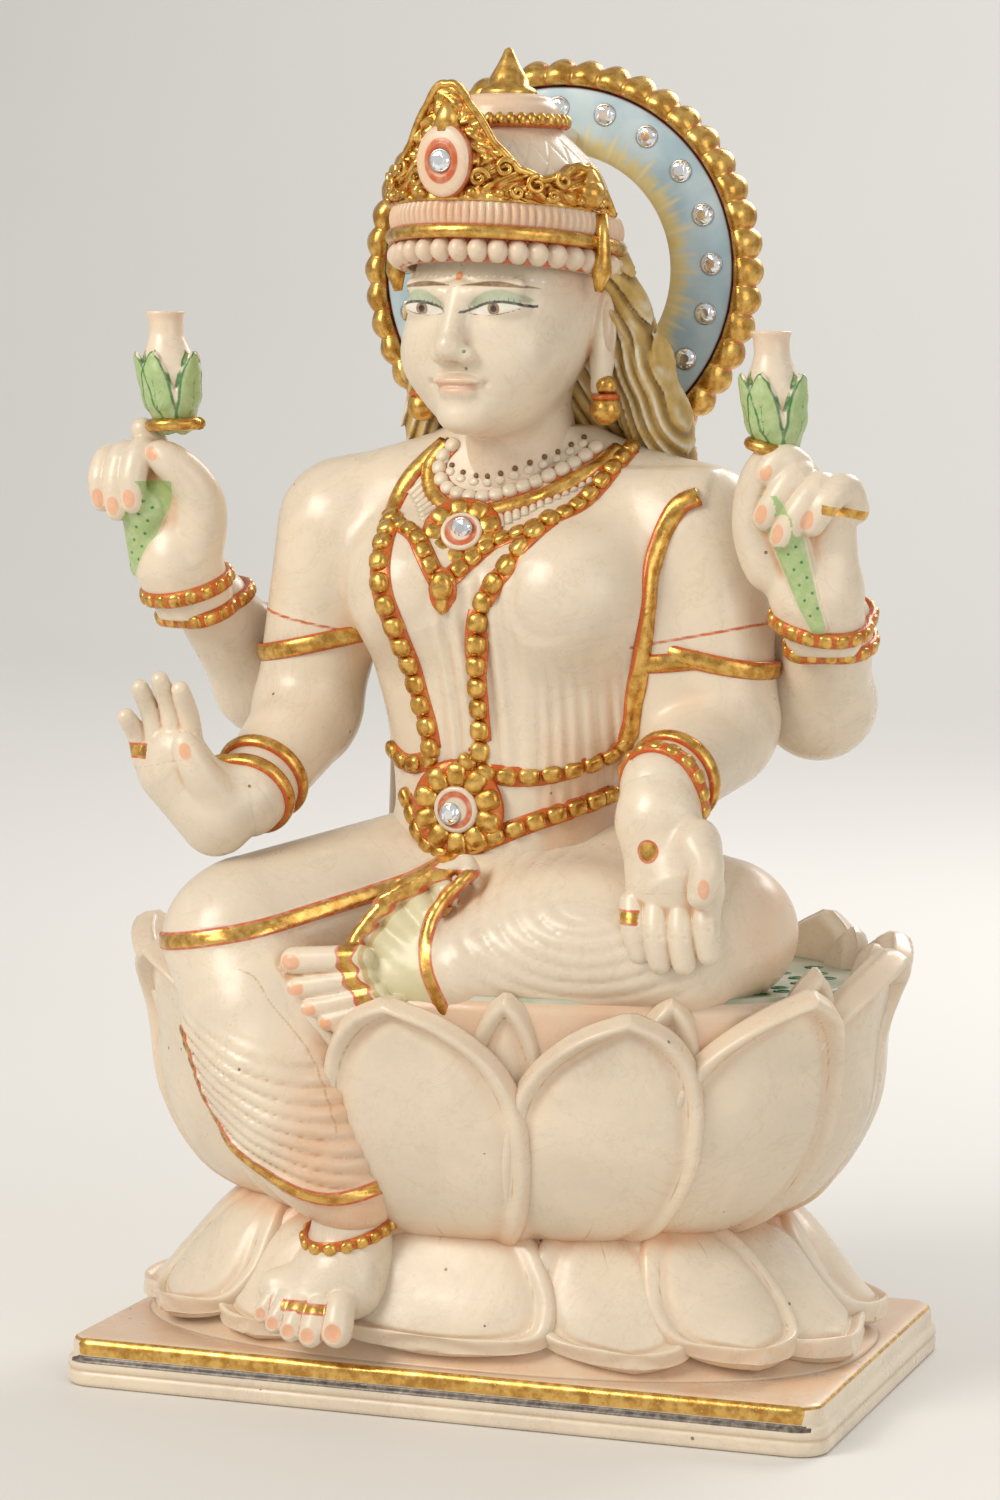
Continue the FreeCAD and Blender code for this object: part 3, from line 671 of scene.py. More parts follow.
def make_pod_material():
    s = Shader("pod")
    wash = s.mix(s.step(s.noise(16.0, 3.0, 0.6), 0.3, 0.7), (0.40, 0.44, 0.32), (0.60, 0.58, 0.46))
    colour = s.mix(s.step(s.noise(7.0, 3.0, 0.6), 0.45, 0.75, 0.0, 0.45), wash, (0.30, 0.42, 0.16))
    s.set(Base_Color=colour, Roughness=0.42, Subsurface_Weight=0.08)
    s.set(Subsurface_Radius=(1.0, 0.7, 0.4), Subsurface_Scale=0.002)
    s.set(Normal=s.relief(s.noise(3.0, 3.0, 0.6), 0.2, 0.5))


# ---- plinth and lotus --------------------------------------------------------------------------------
PLINTH = dict(x=225.0, y=140.0, corner=9.0, groove=4.6)


def rounded_rectangle(half_x, half_y, corner, step=1.6):
    """Points round a level rectangle with rounded corners, and their outward normals."""
    points, normals = [], []
    for sx, sy, start in ((1, 1, 0), (-1, 1, 90), (-1, -1, 180), (1, -1, 270)):
        cx, cy = sx * (half_x - corner), sy * (half_y - corner)
        for k in range(13):
            a = math.radians(start + 90.0 * k / 12)
            points.append((cx + corner * math.cos(a), cy + corner * math.sin(a)))
            normals.append((math.cos(a), math.sin(a)))
    closed_p, closed_n = [], []
    for i in range(len(points)):
        p, q = np.array(points[i]), np.array(points[(i + 1) % len(points)])
        m, n = np.array(normals[i]), np.array(normals[(i + 1) % len(points)])
        count = max(1, int(np.linalg.norm(q - p) / step))
        for k in range(count):
            t = k / count
            closed_p.append(p * (1 - t) + q * t)
            closed_n.append(m * (1 - t) + n * t)
    return np.array(closed_p), np.array(closed_n)


def moulding(profile, half_x, half_y, corner):
    """A band swept round the plinth: rows of (inset, z) from the bottom to the top."""
    outline, normals = rounded_rectangle(half_x, half_y, corner)
    n = len(outline)
    points = []
    for inset, z in profile:
        ring = outline - normals * inset
        points.append(np.column_stack([ring, np.full(n, z)]))
    points = np.concatenate(points)
    faces = grid_faces(len(profile), n, wrap=True)
    faces += end_caps(len(profile), n)
    return points, faces


def make_plinth():
    half_x, half_y, corner = PLINTH["x"] / 2, PLINTH["y"] / 2, PLINTH["corner"]
    groove = PLINTH["groove"]
    profile = [(1.2, 0.0), (0.3, 0.5), (0.0, 1.4), (0.0, 2.2), (0.0, 3.0)]
    profile += [(0.0, groove - 0.7), (0.5, groove - 0.3), (0.5, groove + 0.3), (0.0, groove + 0.7)]
    profile += [(0.0, 6.2), (0.1, 7.2), (0.6, 7.9), (1.4, 8.3), (1.5, 9.0)]
    profile += [(1.5, 10.5), (1.6, 12.0), (2.2, 13.2), (3.6, 13.9), (6.0, 14.0)]
    points, faces = moulding(profile, half_x, half_y, corner)
    x, y, z = points.T
    on_front = smooth_step(-half_y + 3.0, -half_y + 0.5, y)
    front = (y < -half_y + 2.5) & (np.abs(x) < half_x - 0.5)
    marks = {
        "line": 0.5 - np.abs(z - groove),
        "dark": np.where(front, 1.0 - np.abs(z - 7.9), -1.0),
        "gold": np.where(front, 2.6 - np.abs(z - 11.4), 0.65 - np.abs(z - 12.9)),
        "wash": 0.5 * smooth_step(13.6, 14.0, z),
        "broad": 0.15 * on_front,
    }
    build("plinth_stone", points, faces, "marble", ("plinth",), marks)


def lotus_point(offset, half_x, half_y, z, squareness):
    a = np.radians(-90.0 + offset)
    x = np.sign(np.cos(a)) * np.abs(np.cos(a)) ** squareness
    y = np.sign(np.sin(a)) * np.abs(np.sin(a)) ** squareness
    return np.stack(np.broadcast_arrays(half_x * x, half_y * y, z), axis=-1)


def petal(
    offset, profile, squareness, lift=0.0, lean=0.0, rim=2.4, curl=4.0, rise=1.0, slim=1.0, thick=6.0,
    seed=0, nu=56, nv=72
):
    """One petal: points, faces and marks. profile rows: share, half x, half y, z, half width."""
    rows = np.array(profile, float)
    rows[:, 3] = rows[0, 3] + (rows[:, 3] - rows[0, 3]) * rise
    rows[:, 4] *= slim
    v = np.linspace(0.0, 1.0, nv)
    hx, hy, hz, hw = (hermite(rows[:, 0], rows[:, k], v) for k in range(1, 5))
    spin = np.random.default_rng(seed)
    wave = spin.uniform(-1, 1, 4)
    u = np.linspace(-1.0, 1.0, nu)
    u = np.sign(u) * np.abs(u) ** 0.85
    a = math.radians(-90.0 + offset)
    reach = np.sqrt((hx * math.sin(a)) ** 2 + (hy * math.cos(a)) ** 2)
    side = u[None, :] * hw[:, None] + lean * (v[:, None] ** 2.2)
    theta = offset + np.degrees(side / reach[:, None])
    base = lotus_point(theta, hx[:, None], hy[:, None], hz[:, None], squareness)
    centre = lotus_point(offset, hx, hy, hz, squareness)
    along = np.gradient(centre, axis=0)
    step = np.linalg.norm(along, axis=1)
    run = np.cumsum(step)
    along /= step[:, None]
    across = np.gradient(base, axis=1)
    across /= np.maximum(np.linalg.norm(across, axis=2), 1e-6)[:, :, None]
    normal = np.cross(across, np.repeat(along[:, None, :], nu, 1))
    normal /= np.linalg.norm(normal, axis=2)[:, :, None]
    outward = np.array([math.cos(a), math.sin(a), 0.0])
    if (normal[nv // 2, nu // 2] @ outward) < 0:
        normal = -normal
    slope = np.gradient(hw, run)
    edge = (1.0 - np.abs(u)[None, :]) * hw[:, None] / np.sqrt(1.0 + np.clip(slope, -6, 6) ** 2)[:, None]
    top = v[:, None] ** 1.5
    roll = rim * (0.40 + 0.60 * top) * np.exp(-(((edge - 3.0) / (2.2 + 0.22 * rim)) ** 2))
    belly = (
        3.4 * (1.0 - np.abs(u)[None, :] ** 2.4)
        * np.sin(np.pi * np.clip(v[:, None] * 0.92 + 0.04, 0, 1)) ** 0.8
    )
    hollow = -1.5 * np.exp(-(((edge - 7.2) / 2.0) ** 2)) * (0.3 + 0.7 * top)
    crown = curl * smooth_step(0.72, 1.0, v)[:, None]
    ripple = (
        0.5 * np.sin(3.1 * u[None, :] + 5.0 * v[:, None] + 3 * wave[0])
        * np.sin(4.0 * v[:, None] + 3 * wave[1])
    )
    round_off = -2.4 * (1.0 - smooth_step(0.0, 2.2, edge))
    front = base + normal * (lift + belly + roll + hollow + crown + ripple + round_off)[:, :, None]
    back = base + normal * (lift + crown - thick * (0.35 + 0.65 * smooth_step(0.0, 3.0, edge)))[:, :, None]
    front_points, back_points = front.reshape(-1, 3), back.reshape(-1, 3)
    faces = grid_faces(nv, nu)
    count = nv * nu
    faces += [tuple(i + count for i in f[::-1]) for f in grid_faces(nv, nu)]
    ring = [j for j in range(nu)] + [i * nu + nu - 1 for i in range(1, nv)]
    ring += [(nv - 1) * nu + j for j in range(nu - 2, -1, -1)] + [i * nu for i in range(nv - 2, 0, -1)]
    for i in range(len(ring)):
        p, q = ring[i], ring[(i + 1) % len(ring)]
        faces.append((q, p, p + count, q + count))
    outline = 0.42 - np.abs(edge - 6.3 - 0.5 * wave[2]) * 0.9
    outline = np.where(v[:, None] < 0.30, outline - 4.0 * (0.30 - v[:, None]), outline)
    middle = 0.42 - np.abs(side - lean * v[:, None] ** 2.2 - 2.0 * wave[3] * np.sin(3 * v[:, None]))
    middle = middle - 3.0 * np.clip(v[:, None] - 0.42, 0, 1)
    foot = 1.0 - smooth_step(0.02, 0.24, v[:, None])
    margin = np.exp(-((edge / 2.2) ** 2)) * (1.0 - 0.75 * top)
    line = np.maximum(outline, middle)
    # Peach wash along the edges is the statue's own tint; at the foot of the petal and in the hollow inside
    # its lip it is partly that tint and partly painted shade.
    wash = np.clip(
        0.72 * foot + 0.42 * margin + 0.34 * np.exp(-(((edge - 7.4) / 2.0) ** 2)) * (0.3 + 0.7 * top), 0,
        0.8
    )
    marks = {
        "line": np.concatenate([line.ravel(), np.full(count, -1.0)]),
        "wash": np.concatenate([wash.ravel(), np.full(count, 0.10)]),
    }
    return np.concatenate([front_points, back_points]), faces, marks


UPPER_PROFILE = (
    (0.00, 74.0, 46.0, 50.5, 17.0),
    (0.20, 91.0, 56.0, 60.0, 24.0),
    (0.45, 103.0, 63.0, 80.0, 28.5),
    (0.68, 106.0, 65.0, 99.0, 26.5),
    (0.84, 108.0, 66.0, 112.0, 20.0),
    (0.95, 109.5, 67.0, 121.0, 10.5),
    (1.00, 110.0, 67.5, 125.0, 2.0),
)
LOWER_PROFILE = (
    (0.00, 76.0, 47.0, 51.0, 15.0),
    (0.25, 84.0, 52.0, 42.5, 21.0),
    (0.50, 93.0, 57.0, 31.0, 25.0),
    (0.75, 101.0, 61.0, 22.0, 22.0),
    (0.92, 107.0, 64.0, 18.5, 12.0),
    (1.00, 109.5, 65.5, 17.6, 2.0),
)
UPPER_PETALS = (  # angle from the front, lift, lean towards +X, rise, rolled lip, piece
    (0.0, 5.2, -10.0, 0.925, 3.0, "upper_petal_front"),
    (25.0, 3.6, 6.0, 0.900, 3.6, "upper_petal_front_left"),
    (-25.0, 2.2, -3.0, 0.95, 3.0, "upper_petal_front_right"),
    (50.0, 2.0, 15.0, 0.965, 4.8, "upper_petal_corner_left"),
    (-50.0, 1.0, -12.0, 1.0, 4.0, "upper_petal_corner_right"),
    (78.0, 0.2, 13.0, 1.06, 4.8, "upper_petals_side_left"),
    (108.0, 1.0, 0.0, 1.08, 3.6, "upper_petals_side_left"),
    (-78.0, -0.2, -9.0, 1.05, 4.4, "upper_petals_side_right"),
    (-108.0, 1.0, 0.0, 1.07, 3.6, "upper_petals_side_right"),
    (134.0, 0.0, 0.0, 1.10, 3.4, "upper_petals_back"),
    (-134.0, 0.0, 0.0, 1.10, 3.4, "upper_petals_back"),
    (157.0, 1.2, 0.0, 1.08, 3.2, "upper_petals_back"),
    (-157.0, 1.2, 0.0, 1.08, 3.2, "upper_petals_back"),
    (180.0, 2.4, 0.0, 1.08, 3.2, "upper_petals_back"),
)
INNER_PETALS = (  # narrow tips that show between the large petals: angle, rise, piece
    (9.5, 0.93, "upper_petal_front"),
    (35.0, 0.935, "upper_petal_front_left"),
    (65.0, 1.02, "upper_petal_corner_left"),
    (-37.0, 0.95, "upper_petal_front_right"),
    (-64.0, 1.02, "upper_petal_corner_right"),
    (93.0, 1.06, "upper_petals_side_left"),
    (-93.0, 1.06, "upper_petals_side_right"),
    (121.0, 1.06, "upper_petals_back"),
    (-121.0, 1.06, "upper_petals_back"),
    (145.0, 1.04, "upper_petals_back"),
    (-145.0, 1.04, "upper_petals_back"),
    (169.0, 1.04, "upper_petals_back"),
    (-169.0, 1.04, "upper_petals_back"),
)
LOWER_PETALS = (
    (0.0, 2.6, "lower_petals_front"),
    (25.0, 1.2, "lower_petals_front"),
    (-25.0, 1.2, "lower_petals_front"),
    (50.0, 2.8, "lower_petals_left"),
    (78.0, 1.0, "lower_petals_left"),
    (108.0, 2.4, "lower_petals_left"),
    (-50.0, 2.8, "lower_petals_right"),
    (-78.0, 1.0, "lower_petals_right"),
    (-108.0, 2.4, "lower_petals_right"),
    (134.0, 0.8, "lower_petals_back"),
    (-134.0, 0.8, "lower_petals_back"),
    (157.0, 2.4, "lower_petals_back"),
    (-157.0, 2.4, "lower_petals_back"),
    (180.0, 0.8, "lower_petals_back"),
)


def gather(name, leaves, node):
    points, faces = join([(p, f) for p, f, _ in leaves])
    marks = {key: np.concatenate([m[key] for _, _, m in leaves]) for key in leaves[0][2]}
    return build(name, points, faces, "marble", (node,), marks)


def make_lotus():
    groups = {}
    for k, (offset, lift, lean, rise, lip, node) in enumerate(UPPER_PETALS):
        leaf = petal(offset, UPPER_PROFILE, 0.95, lift, lean, rim=lip, curl=2.5, rise=rise, seed=k)
        groups.setdefault(node, []).append(leaf)
    for k, (offset, rise, node) in enumerate(INNER_PETALS):
        leaf = petal(
            offset, UPPER_PROFILE, 0.95, -3.4, 0.0, rim=1.6, curl=1.5, rise=rise, slim=0.5, seed=80 + k,
            nu=36, nv=48
        )
        groups[node].append(leaf)
    for k, (offset, lift, node) in enumerate(LOWER_PETALS):
        leaf = petal(offset, LOWER_PROFILE, 0.75, lift, 0.0, rim=2.2, curl=0.5, thick=5.0, seed=40 + k)
        groups.setdefault(node, []).append(leaf)
    for node, leaves in groups.items():
        gather(node + "_carved", leaves, node)
    # rows of share, half x, half y and z up the foot and the bowl that the petals are laid on
    foot = [
        (0.0, 108.0, 65.0, 14.0), (0.3, 100.0, 60.0, 19.0), (0.7, 84.0, 51.0, 37.0),
        (1.0, 74.0, 46.0, 52.0)
    ]
    bowl = [
        (0.0, 73.0, 45.0, 49.0), (0.25, 90.0, 55.0, 61.0), (0.6, 101.0, 62.0, 84.0),
        (0.9, 104.0, 64.0, 110.0), (1.0, 103.0, 63.0, 117.5)
    ]
    for node, rows, square in (("lotus_foot", foot, 0.8), ("lotus_bowl", bowl, 0.95)):
        rows = np.array(rows)
        count, around = 24, 180
        v = np.linspace(0, 1, count)
        hx, hy, hz = (hermite(rows[:, 0], rows[:, k], v) for k in (1, 2, 3))
        theta = np.linspace(0, 360, around + 1)[:-1]
        points = lotus_point(theta[None, :], hx[:, None], hy[:, None], hz[:, None], square).reshape(-1, 3)
        faces = grid_faces(count, around, wrap=True) + end_caps(count, around)
        wash = {"wash": np.full(len(points), 0.45)}
        build(node + "_core", points, faces, "marble", (node,), wash)
    make_seat()


def make_seat():
    """The seed pod's top: a shallow dished disc with raised seeds, in a thin green wash."""
    ring, around = 30, 120
    points, faces = [], []
    for i in range(ring):
        t = i / (ring - 1)
        a = full_turn(around)
        height = 117.0 + 1.6 * t ** 6 + 0.35 * np.sin(9 * t)
        x, y = (2 + 100 * t) * np.cos(a), (1 + 62 * t) * np.sin(a)
        points.append(np.column_stack([x, y, np.full(around, height)]))
    bottom = points[-1].copy()
    bottom[:, 2] = 113.0
    points = np.concatenate(points + [bottom])
    faces = [f[::-1] for f in grid_faces(ring + 1, around, wrap=True) + end_caps(ring + 1, around)]
    build("seed_pod_top", points, faces, "pod", ("seed_pod",))
    spin = np.random.default_rng(5)
    loops = []
    for row in range(-6, 7):
        for column in range(-10, 11):
            x = 9.6 * column + 4.8 * (row % 2) + spin.uniform(-1.4, 1.4)
            y = 9.0 * row + spin.uniform(-1.2, 1.2)
            t = math.hypot((x - 2) / 100, (y - 1) / 62)
            if t > 0.93:
                continue
            z = 117.0 + 1.6 * t ** 6 + 0.35 * math.sin(9 * t) + 0.08
            loop = [(x + 2.3 * math.cos(a), y + 1.7 * math.sin(a), z) for a in full_turn(20)]
            loops.append(sweep(loop, [0.62], 6, True, (1.0, 0.35), (0, 0, 1)))
    points, faces = join(loops)
    build("seed_pod_seeds", points, faces, "leaf_paint", ())


# ---- legs and drapery --------------------------------------------------------------------------------
SHIN = (
    (-66, -49, 127, 20), (-56, -54, 108, 22), (-50, -57, 96, 22), (-43, -59, 82, 20.5),
    (-34, -60, 70, 16.5), (-27, -59, 60, 12.5)
)
TUNIC_HEM = (
    (-92, -18, 126), (-91, -40, 127), (-86, -60, 128), (-66, -66, 131.5), (-52, -60, 134.5),
    (-40, -56, 138.5), (-27, -50, 143), (-17, -46, 147), (-9, -44, 152.5), (-5, -42, 158)
)
CALF_HEM = (
    (-76, -40, 104), (-73, -62, 97), (-66, -72, 81), (-56, -76, 72.5), (-45, -77, 66.5), (-37, -76, 63),
    (-27, -75, 61.2), (-13, -70, 65.5), (-6, -60, 70)
)
SASH_LEFT = (
    (-1, -48, 152.5), (-9, -52, 148.5), (-17, -56, 143.5), (-23.5, -59, 136), (-26.5, -61, 130),
    (-25, -62, 123), (-20, -63, 116), (-17, -63, 112)
)
SASH_RIGHT = (
    (3, -48, 150.5), (-3, -53, 143), (-5.5, -57, 136), (-4.5, -60, 127.5), (-0.5, -62, 118), (2, -62, 112)
)
TOE_TIPS = (
    (-42, 126, 3.9), (-40.5, 118.6, 3.4), (-36.5, 113, 3.1), (-31.5, 109.6, 2.8), (-27.0, 107.0, 2.5)
)


def leg_folds(x, y, z):
    """Long folds that sag across the shin and get closer together near the hem."""
    d = to_path([p[:3] for p in SHIN], x, y, z)
    across = (x + 46.0 + (z - 90.0) * 0.5) / 20.0
    height = z + 7.5 * across - 5.0 * across ** 2
    phase = 2 * np.pi * (np.clip(118.0 - height, 0, 80) / 6.6) ** 1.12
    strength = smooth_step(112, 92, height) * smooth_step(56, 64, z) * smooth_step(-10, -30, y)
    wave = np.abs(np.sin(phase / 2)) ** 0.7 - 0.6
    return 1.3 * wave * strength * (d < 30)


def lap_folds(x, y, z):
    """Onion-ring folds of the cloth over the folded leg."""
    r = np.sqrt(((x - 40.0) / 1.25) ** 2 + ((z - 149.0) / 0.92) ** 2)
    wave = np.abs(np.sin(r * np.pi / 4.6)) ** 0.6 - 0.6
    inside = (
        smooth_step(-2, 6, x) * smooth_step(-18, -30, y) * smooth_step(6, 11, r) * smooth_step(44, 32, r)
    )
    return 0.75 * wave * inside * smooth_step(80, 70, x)


def make_legs():
    c = Clay((-104, -90, 44), (98, 36, 166), 0.85)
    c.add(Rod((-20, -2, 138), (-64, -44, 131), 27, 21))
    c.path([p[:3] for p in SHIN], [p[3] for p in SHIN], blend=4)
    c.add(Ball((-68, -46, 129), (20, 20, 18)), blend=5)
    c.add(Rod((24, 0, 140), (66, -20, 135), 26, 20), blend=6)
    c.add(Ball((72, -22, 134), (17, 20, 17)), blend=8)
    c.add(Ball((34, -28, 132), (45, 33, 23)), blend=8)
    c.add(Rod((62, -38, 128), (4, -50, 124), 17, 14), blend=8)
    c.add(Ball((0, -8, 138), (44, 34, 22)), blend=6)
    c.add(Rod((2, -49, 122), (-24, -52, 118), 14, 11), blend=5)
    c.press(lambda x, y, z: 0.9 * smooth_step(-8, 8, x) * smooth_step(118, 112, z))
    # sash between the legs, with two gilt edges
    for a, b in zip(smooth_path(SASH_LEFT, 3)[::3], smooth_path(SASH_RIGHT, 3)[::3]):
        c.add(Rod(a + (1.5, 3.0, 0), b + (-1, 3.0, 0), 3.2), blend=3.5)
    c.path(smooth_path(SASH_LEFT, 3), [1.9], blend=1.2)
    c.path(smooth_path(SASH_RIGHT, 3), [1.6], blend=1.2)
    c.press(leg_folds, (-95, -88, 50), (-5, 0, 125))
    c.press(lap_folds, (-8, -75, 108), (92, 0, 160))
    # the folded leg's toes, low on the surface
    for tx, tz, r in TOE_TIPS:
        tip = np.array((tx, -66.0 - 0.10 * (tx + 42), tz))
        root = tip + (19, 2.2, 1.6 + 0.25 * (126 - tz))
        c.add(Rod(tuple(root), tuple(tip), r * 0.95, r), blend=0.8)
    hem = smooth_path(TUNIC_HEM, 4)
    calf = smooth_path(CALF_HEM, 4)

    def raised_hem(x, y, z):
        return 0.9 * smooth_step(2.9, 1.9, to_path(hem[:, [0, 2]], x, z)) * (y < -28)

    def raised_calf_hem(x, y, z):
        return 0.8 * smooth_step(3.0, 1.6, to_path(calf[:, [0, 2]], x, z)) * (y < -45)

    c.press(raised_hem, (-100, -88, 110), (0, -20, 164))
    c.press(raised_calf_hem, (-84, -88, 54), (0, -40, 110))

    def paint(x, y, z):
        front = y < -30
        hem_d = np.where(y < -28, to_path(hem[:, [0, 2]], x, z), 99)
        calf_d = np.where(y < -48, to_path(calf[:, [0, 2]], x, z), 99)
        left_d = to_path(smooth_path(SASH_LEFT, 4)[:, [0, 2]], x, z)
        right_d = to_path(smooth_path(SASH_RIGHT, 4)[:, [0, 2]], x, z)
        in_sash = (y < -44) & (z > 108) & (z < 152)
        scallop = 0.5 * np.cos(z * 2 * np.pi / 5.0)
        left = np.where(in_sash, 1.9 + scallop - left_d, -9)
        right = np.where(in_sash, 1.5 - right_d, -9)
        gold = np.maximum.reduce([1.9 - hem_d, 1.5 - calf_d, left, right])
        red = np.maximum.reduce([2.7 - hem_d, 2.3 - calf_d, left + 0.9, right + 0.8])
        nail = np.full_like(x, -9)
        for tx, tz, r in TOE_TIPS:
            spot = np.sqrt(((x - tx - 0.2) / 1.25) ** 2 + (z - tz) ** 2)
            nail = np.maximum(nail, np.where(front, 0.62 * r - spot, -9))
        between = np.where(in_sash & (left < -0.5), inside_band(SASH_LEFT, SASH_RIGHT, x, z), -9)
        inner = np.abs(to_path(smooth_path([(p[0] + 4.5, p[2]) for p in SASH_LEFT], 4), x, z) - 0.2)
        line = np.where(in_sash & (z < 148), 0.75 - inner, -9)
        knee_line = (
            0.45
            - np.abs(
                to_path(
                    smooth_path(
                        [(-58, 124), (-52, 122), (-46, 115), (-36, 104), (-30, 92), (-26, 80)], 5
                    ),
                    x, z
                )
            )
        )
        line = np.maximum(line, np.where(y < -52, knee_line, -9))
        wash = 0.55 * smooth_step(-48, -30, x) * smooth_step(118, 100, z) * smooth_step(0, -20, x)
        wash = wash + 0.30 * smooth_step(74, 86, x) + 0.35 * smooth_step(124, 114, z) * smooth_step(0, 10, x)
        return {
            "gold": gold, "red": red, "nail": nail, "pale": between, "line": line,
            "wash": np.clip(wash, 0, 0.6)
        }

    carve(
        "legs_draped", c, "marble",
        (
            "leg_right_thigh", "leg_right_shin", "leg_left_thigh", "leg_left_shin", "lap_drape", "sash",
            "foot_left"
        ),
        paint
    )


def inside_band(left, right, x, z):
    """Millimetres inside the strip between two curves, by height."""
    a, b = smooth_path(left, 4), smooth_path(right, 4)
    lo = np.interp(z, a[::-1, 2], a[::-1, 0])
    hi = np.interp(z, b[::-1, 2], b[::-1, 0])
    return np.minimum(x - lo, hi - x)


def make_foot():
    c = Clay((-66, -90, 16), (-4, -36, 72), 0.55)
    c.add(Rod((-27, -57, 66), (-28, -57, 46), 12.0, 11.0))
    c.add(Ball((-29, -58, 40), (13, 14, 10)), blend=6)
    c.add(Rod((-30, -62, 38), (-36, -70, 29), 10.5, 8.0, (0, -0.5, 1), 0.75), blend=6)
    c.add(Rod((-24, -64, 33), (-46, -66, 33), 7, 6), blend=6)
    tips = (
        (-24.5, -76.5, 24.5, 4.3), (-31.5, -78.5, 23.6, 3.5), (-37.6, -78.0, 24.2, 3.2),
        (-43.2, -76.0, 25.4, 3.0), (-48.0, -73.0, 27.0, 2.8)
    )
    for i, (tx, ty, tz, r) in enumerate(tips):
        root = (-25.5 - 4.4 * i, -65.5 + 0.3 * i, 34.5 - 0.2 * i)
        bend = ((tx + root[0]) / 2, (ty + root[1]) / 2 - 1.8, (tz + root[2]) / 2 + 1.4)
        c.path(smooth_path([root, bend, (tx, ty, tz)], 3), [r * 0.95, r], blend=0.9)
        c.cut(Ball((tx - 0.2, ty - r * 0.92, tz + 0.5), (r * 0.62, r * 0.28, r * 0.68)), blend=0.25)

    def paint(x, y, z):
        nail = np.full_like(x, -9)
        ring = np.full_like(x, -9)
        for i, (tx, ty, tz, r) in enumerate(tips):
            nail = np.maximum(
                nail,
                0.66 * r - np.sqrt((x - tx) ** 2 + ((y - ty + r * 0.9) / 1.4) ** 2 + (z - tz - 0.5) ** 2)
            )
            if i in (1, 2):
                ring = np.maximum(
                    ring, 1.1 - np.abs(z - tz - 6.0 + 0.3 * (y + 74)) - 2.0 * (np.abs(x - tx) > r + 0.6)
                )
        slots = np.full_like(x, -9)
        for i in range(4):
            a, b = tips[i], tips[i + 1]
            mid = (a[0] + b[0]) / 2
            slots = np.maximum(
                slots, np.where((z < 33) & (y < -66), 0.35 - np.abs(x - mid - (z - 25) * 0.05), -9)
            )
        circle = 0.45 - np.abs(z - 54.5 - 0.12 * (x + 27))
        return {"nail": nail, "gold": ring, "red": np.maximum(ring + 0.8, slots), "line": circle}

    carve("foot_right_carved", c, "marble", ("foot_right",), paint)


# ---- torso and front arms ----------------------------------------------------------------------------
TORSO = (
    (130.0, 0.0, 0.0, 46.0, 32.0),
    (150.0, 0.0, -3.0, 39.0, 28.0),
    (168.0, 0.0, -6.0, 33.5, 25.0),
    (190.0, 0.0, -7.0, 36.0, 25.0),
    (212.0, 0.0, -8.0, 42.0, 27.0),
    (230.0, 0.0, -7.0, 48.0, 28.0),
    (246.0, 0.0, -1.0, 54.0, 23.0),
    (257.0, 0.0, 2.0, 47.0, 18.0),
    (266.0, 0.0, 3.0, 27.0, 15.0),
    (276.0, 0.0, 2.0, 17.0, 14.0),
)
RIGHT_WRIST, LEFT_WRIST = (-66.0, -43.0, 168.0), (56.0, -41.0, 176.0)
SHAWL = (
    (60, 255), (53, 252), (48.5, 244), (46.5, 234), (45.5, 222), (44, 208), (42, 197), (40, 189),
    (36, 183.5), (28, 180), (20, 178.5), (10, 178)
)


